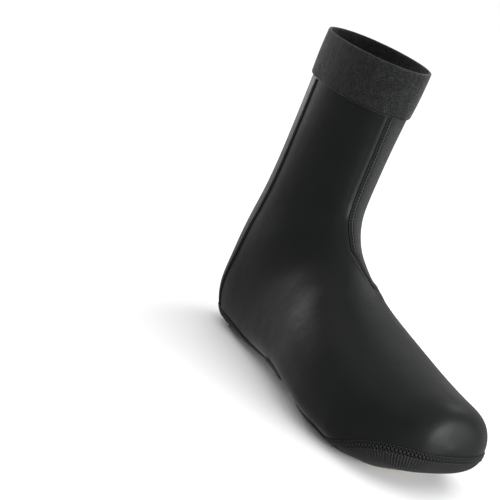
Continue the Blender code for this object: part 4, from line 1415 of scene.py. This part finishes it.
def web_paint():
    """Black elastic web with fine lengthwise cords."""
    paint, nodes, links, shader = new_paint("elastic_web", (0.013, 0.0135, 0.013), 0.75, 1.42)
    cloth = nodes.new("ShaderNodeUVMap")
    cloth.uv_map = "cloth"
    cords = nodes.new("ShaderNodeTexWave")
    cords.bands_direction = "X"
    cords.inputs["Scale"].default_value = math.pi * 2.0 / 0.0011 / 20.0
    cords.inputs["Distortion"].default_value = 0.25
    links.new(cloth.outputs["UV"], cords.inputs["Vector"])
    links.new(mix_colours(nodes, links, cords.outputs["Fac"], (0.008, 0.0085, 0.008),
                          (0.020, 0.021, 0.020)), shader.inputs["Base Color"])
    relief(nodes, links, shader, ((cords.outputs["Fac"], 0.0004),))
    return paint


def build_strap():
    """The strap as a grid of x by share across, from side to side under the arch."""
    x_line = STRAP_MIDDLE + np.linspace(-0.5, 0.5, 33) * STRAP_WIDTH
    near = np.linspace(place_on_sole(x_line[-1]) - 1.5, place_on_sole(x_line[0]) + 1.5, 400)
    share = np.linspace(0.0, 1.0, 91)
    rows_points = []
    for x in x_line:
        turns = np.linspace(0.5 * math.pi, 1.5 * math.pi, 241)
        grid_x = last_surface(near[:, None], turns[None, :])[..., 0]
        places = np.array([np.interp(-x, -grid_x[:, k], near) for k in range(len(turns))])
        line = last_surface(places, turns)
        low = line[:, 2] < STRAP_SIDE_HEIGHT
        places, turns, line = places[low], turns[low], line[low]
        run = np.cumsum(np.concatenate([[0.0], np.linalg.norm(np.diff(line, axis=0), axis=1)]))
        run = run / run[-1]
        rows_points.append((np.interp(share, run, places), np.interp(share, run, turns)))
    places = np.stack([row[0] for row in rows_points])
    turns = np.stack([row[1] for row in rows_points])
    edge = np.minimum(np.linspace(0, 1, 33), np.linspace(1, 0, 33))[:, None] * STRAP_WIDTH
    out = STRAP_PROUD - 0.0005 * bell_of(edge, 0.0009)
    outer = surface(places, turns, np.broadcast_to(out, places.shape))
    inner = surface(places, turns, GAP)
    across = np.broadcast_to(x_line[:, None], places.shape)
    along = np.broadcast_to(share[None, :] * 0.08, places.shape)
    keep = np.ones((32, 90), bool)
    index = np.arange(places.size).reshape(places.shape)
    return sheet_mesh("elastic_arch_strap", outer, inner, keep, index, np.stack([across, along], axis=-1))


elastic_arch_strap = place_piece("elastic_arch_strap", build_strap(), (web_paint(),),
                                 ("arch_strap",))

# Studio.
# A wide pale floor, white surroundings, a broad light overhead and one softbox on each side, and
# the camera at the photograph's angle to the shoe.


def floor_paint():
    """Matt white paper."""
    paint, nodes, links, shader = new_paint("studio_floor", (0.90, 0.90, 0.90), 0.9, 1.2)
    return paint


floor_mesh = bpy.data.meshes.new("studio_floor")
reach = 40.0
floor_mesh.from_pydata([(-reach, -reach, 0), (reach, -reach, 0), (reach, reach, 0), (-reach, reach, 0)],
                       [], [(0, 1, 2, 3)])
floor_mesh.materials.append(floor_paint())
floor = bpy.data.objects.new("studio_floor", floor_mesh)
bpy.context.scene.collection.objects.link(floor)
floor.visible_glossy = False

world = bpy.data.worlds.new("studio_air")
world.use_nodes = True
air = world.node_tree.nodes["Background"]
air.inputs["Color"].default_value = (1.0, 1.0, 1.0, 1.0)
air.inputs["Strength"].default_value = 0.70
bpy.context.scene.world = world


def softbox(name, place, target, width, height, power):
    """A rectangular light that faces a point."""
    light = bpy.data.lights.new(name, "AREA")
    light.shape = "RECTANGLE"
    light.size = width
    light.size_y = height
    light.energy = power
    lamp = bpy.data.objects.new(name, light)
    lamp.location = place
    lamp.rotation_euler = (Vector(target) - Vector(place)).to_track_quat("-Z", "Y").to_euler()
    bpy.context.scene.collection.objects.link(lamp)


AIM = (0.0, 0.0, 0.13)
softbox("left_softbox", (-1.35, -0.06, 0.20), AIM, 0.50, 0.36, 4.4)
softbox("right_softbox", (1.30, 0.34, 0.25), AIM, 1.20, 0.46, 32.0)
softbox("inner_softbox", (-0.10, 1.05, 1.15), AIM, 0.70, 0.50, 4.5)

dome = bpy.data.lights.new("overhead_dome", "SUN")
dome.energy = 1.35
dome.angle = math.radians(100.0)
dome_lamp = bpy.data.objects.new("overhead_dome", dome)
bpy.context.scene.collection.objects.link(dome_lamp)

CAMERA_YAW_DEG = 49.345
CAMERA_RISE_DEG = 14.640
CAMERA_ROLL_DEG = 21.188
CAMERA_DISTANCE = 1.214581
CAMERA_TARGET = Vector((-0.015, 0.0, 0.110))
TARGET_PIXEL = (358.417, 254.664)
FOCAL_PIXELS = 1667.563
FRAME_PIXELS = 500.0


def photo_camera():
    """The camera from its turn, rise and roll about the target, which is kept off centre."""
    yaw = math.radians(CAMERA_YAW_DEG)
    rise = math.radians(CAMERA_RISE_DEG)
    roll = math.radians(CAMERA_ROLL_DEG)
    back = Vector((math.sin(yaw) * math.cos(rise), -math.cos(yaw) * math.cos(rise), math.sin(rise)))
    right = Vector((math.cos(yaw), math.sin(yaw), 0.0))
    up = back.cross(right)
    aside = Vector(((TARGET_PIXEL[0] - FRAME_PIXELS / 2.0) / FOCAL_PIXELS,
                    -(TARGET_PIXEL[1] - FRAME_PIXELS / 2.0) / FOCAL_PIXELS, -1.0)).normalized()
    aside_right = aside.cross(Vector((0.0, 1.0, 0.0))).normalized()
    aside_up = aside_right.cross(aside)
    bent = Matrix((aside_right, aside_up, -aside))
    world_turn = Matrix((right, up, back)).transposed()
    turn = world_turn @ Matrix.Rotation(roll, 3, "Z") @ bent
    lens = bpy.data.cameras.new("photo_camera")
    lens.sensor_width = 36.0
    lens.lens = FOCAL_PIXELS / FRAME_PIXELS * 36.0
    lens.clip_end = 100.0
    camera = bpy.data.objects.new("photo_camera", lens)
    camera.matrix_world = Matrix.Translation(CAMERA_TARGET + back * CAMERA_DISTANCE) @ turn.to_4x4()
    bpy.context.scene.collection.objects.link(camera)
    bpy.context.scene.camera = camera


photo_camera()
bpy.context.scene.view_settings.view_transform = "Standard"
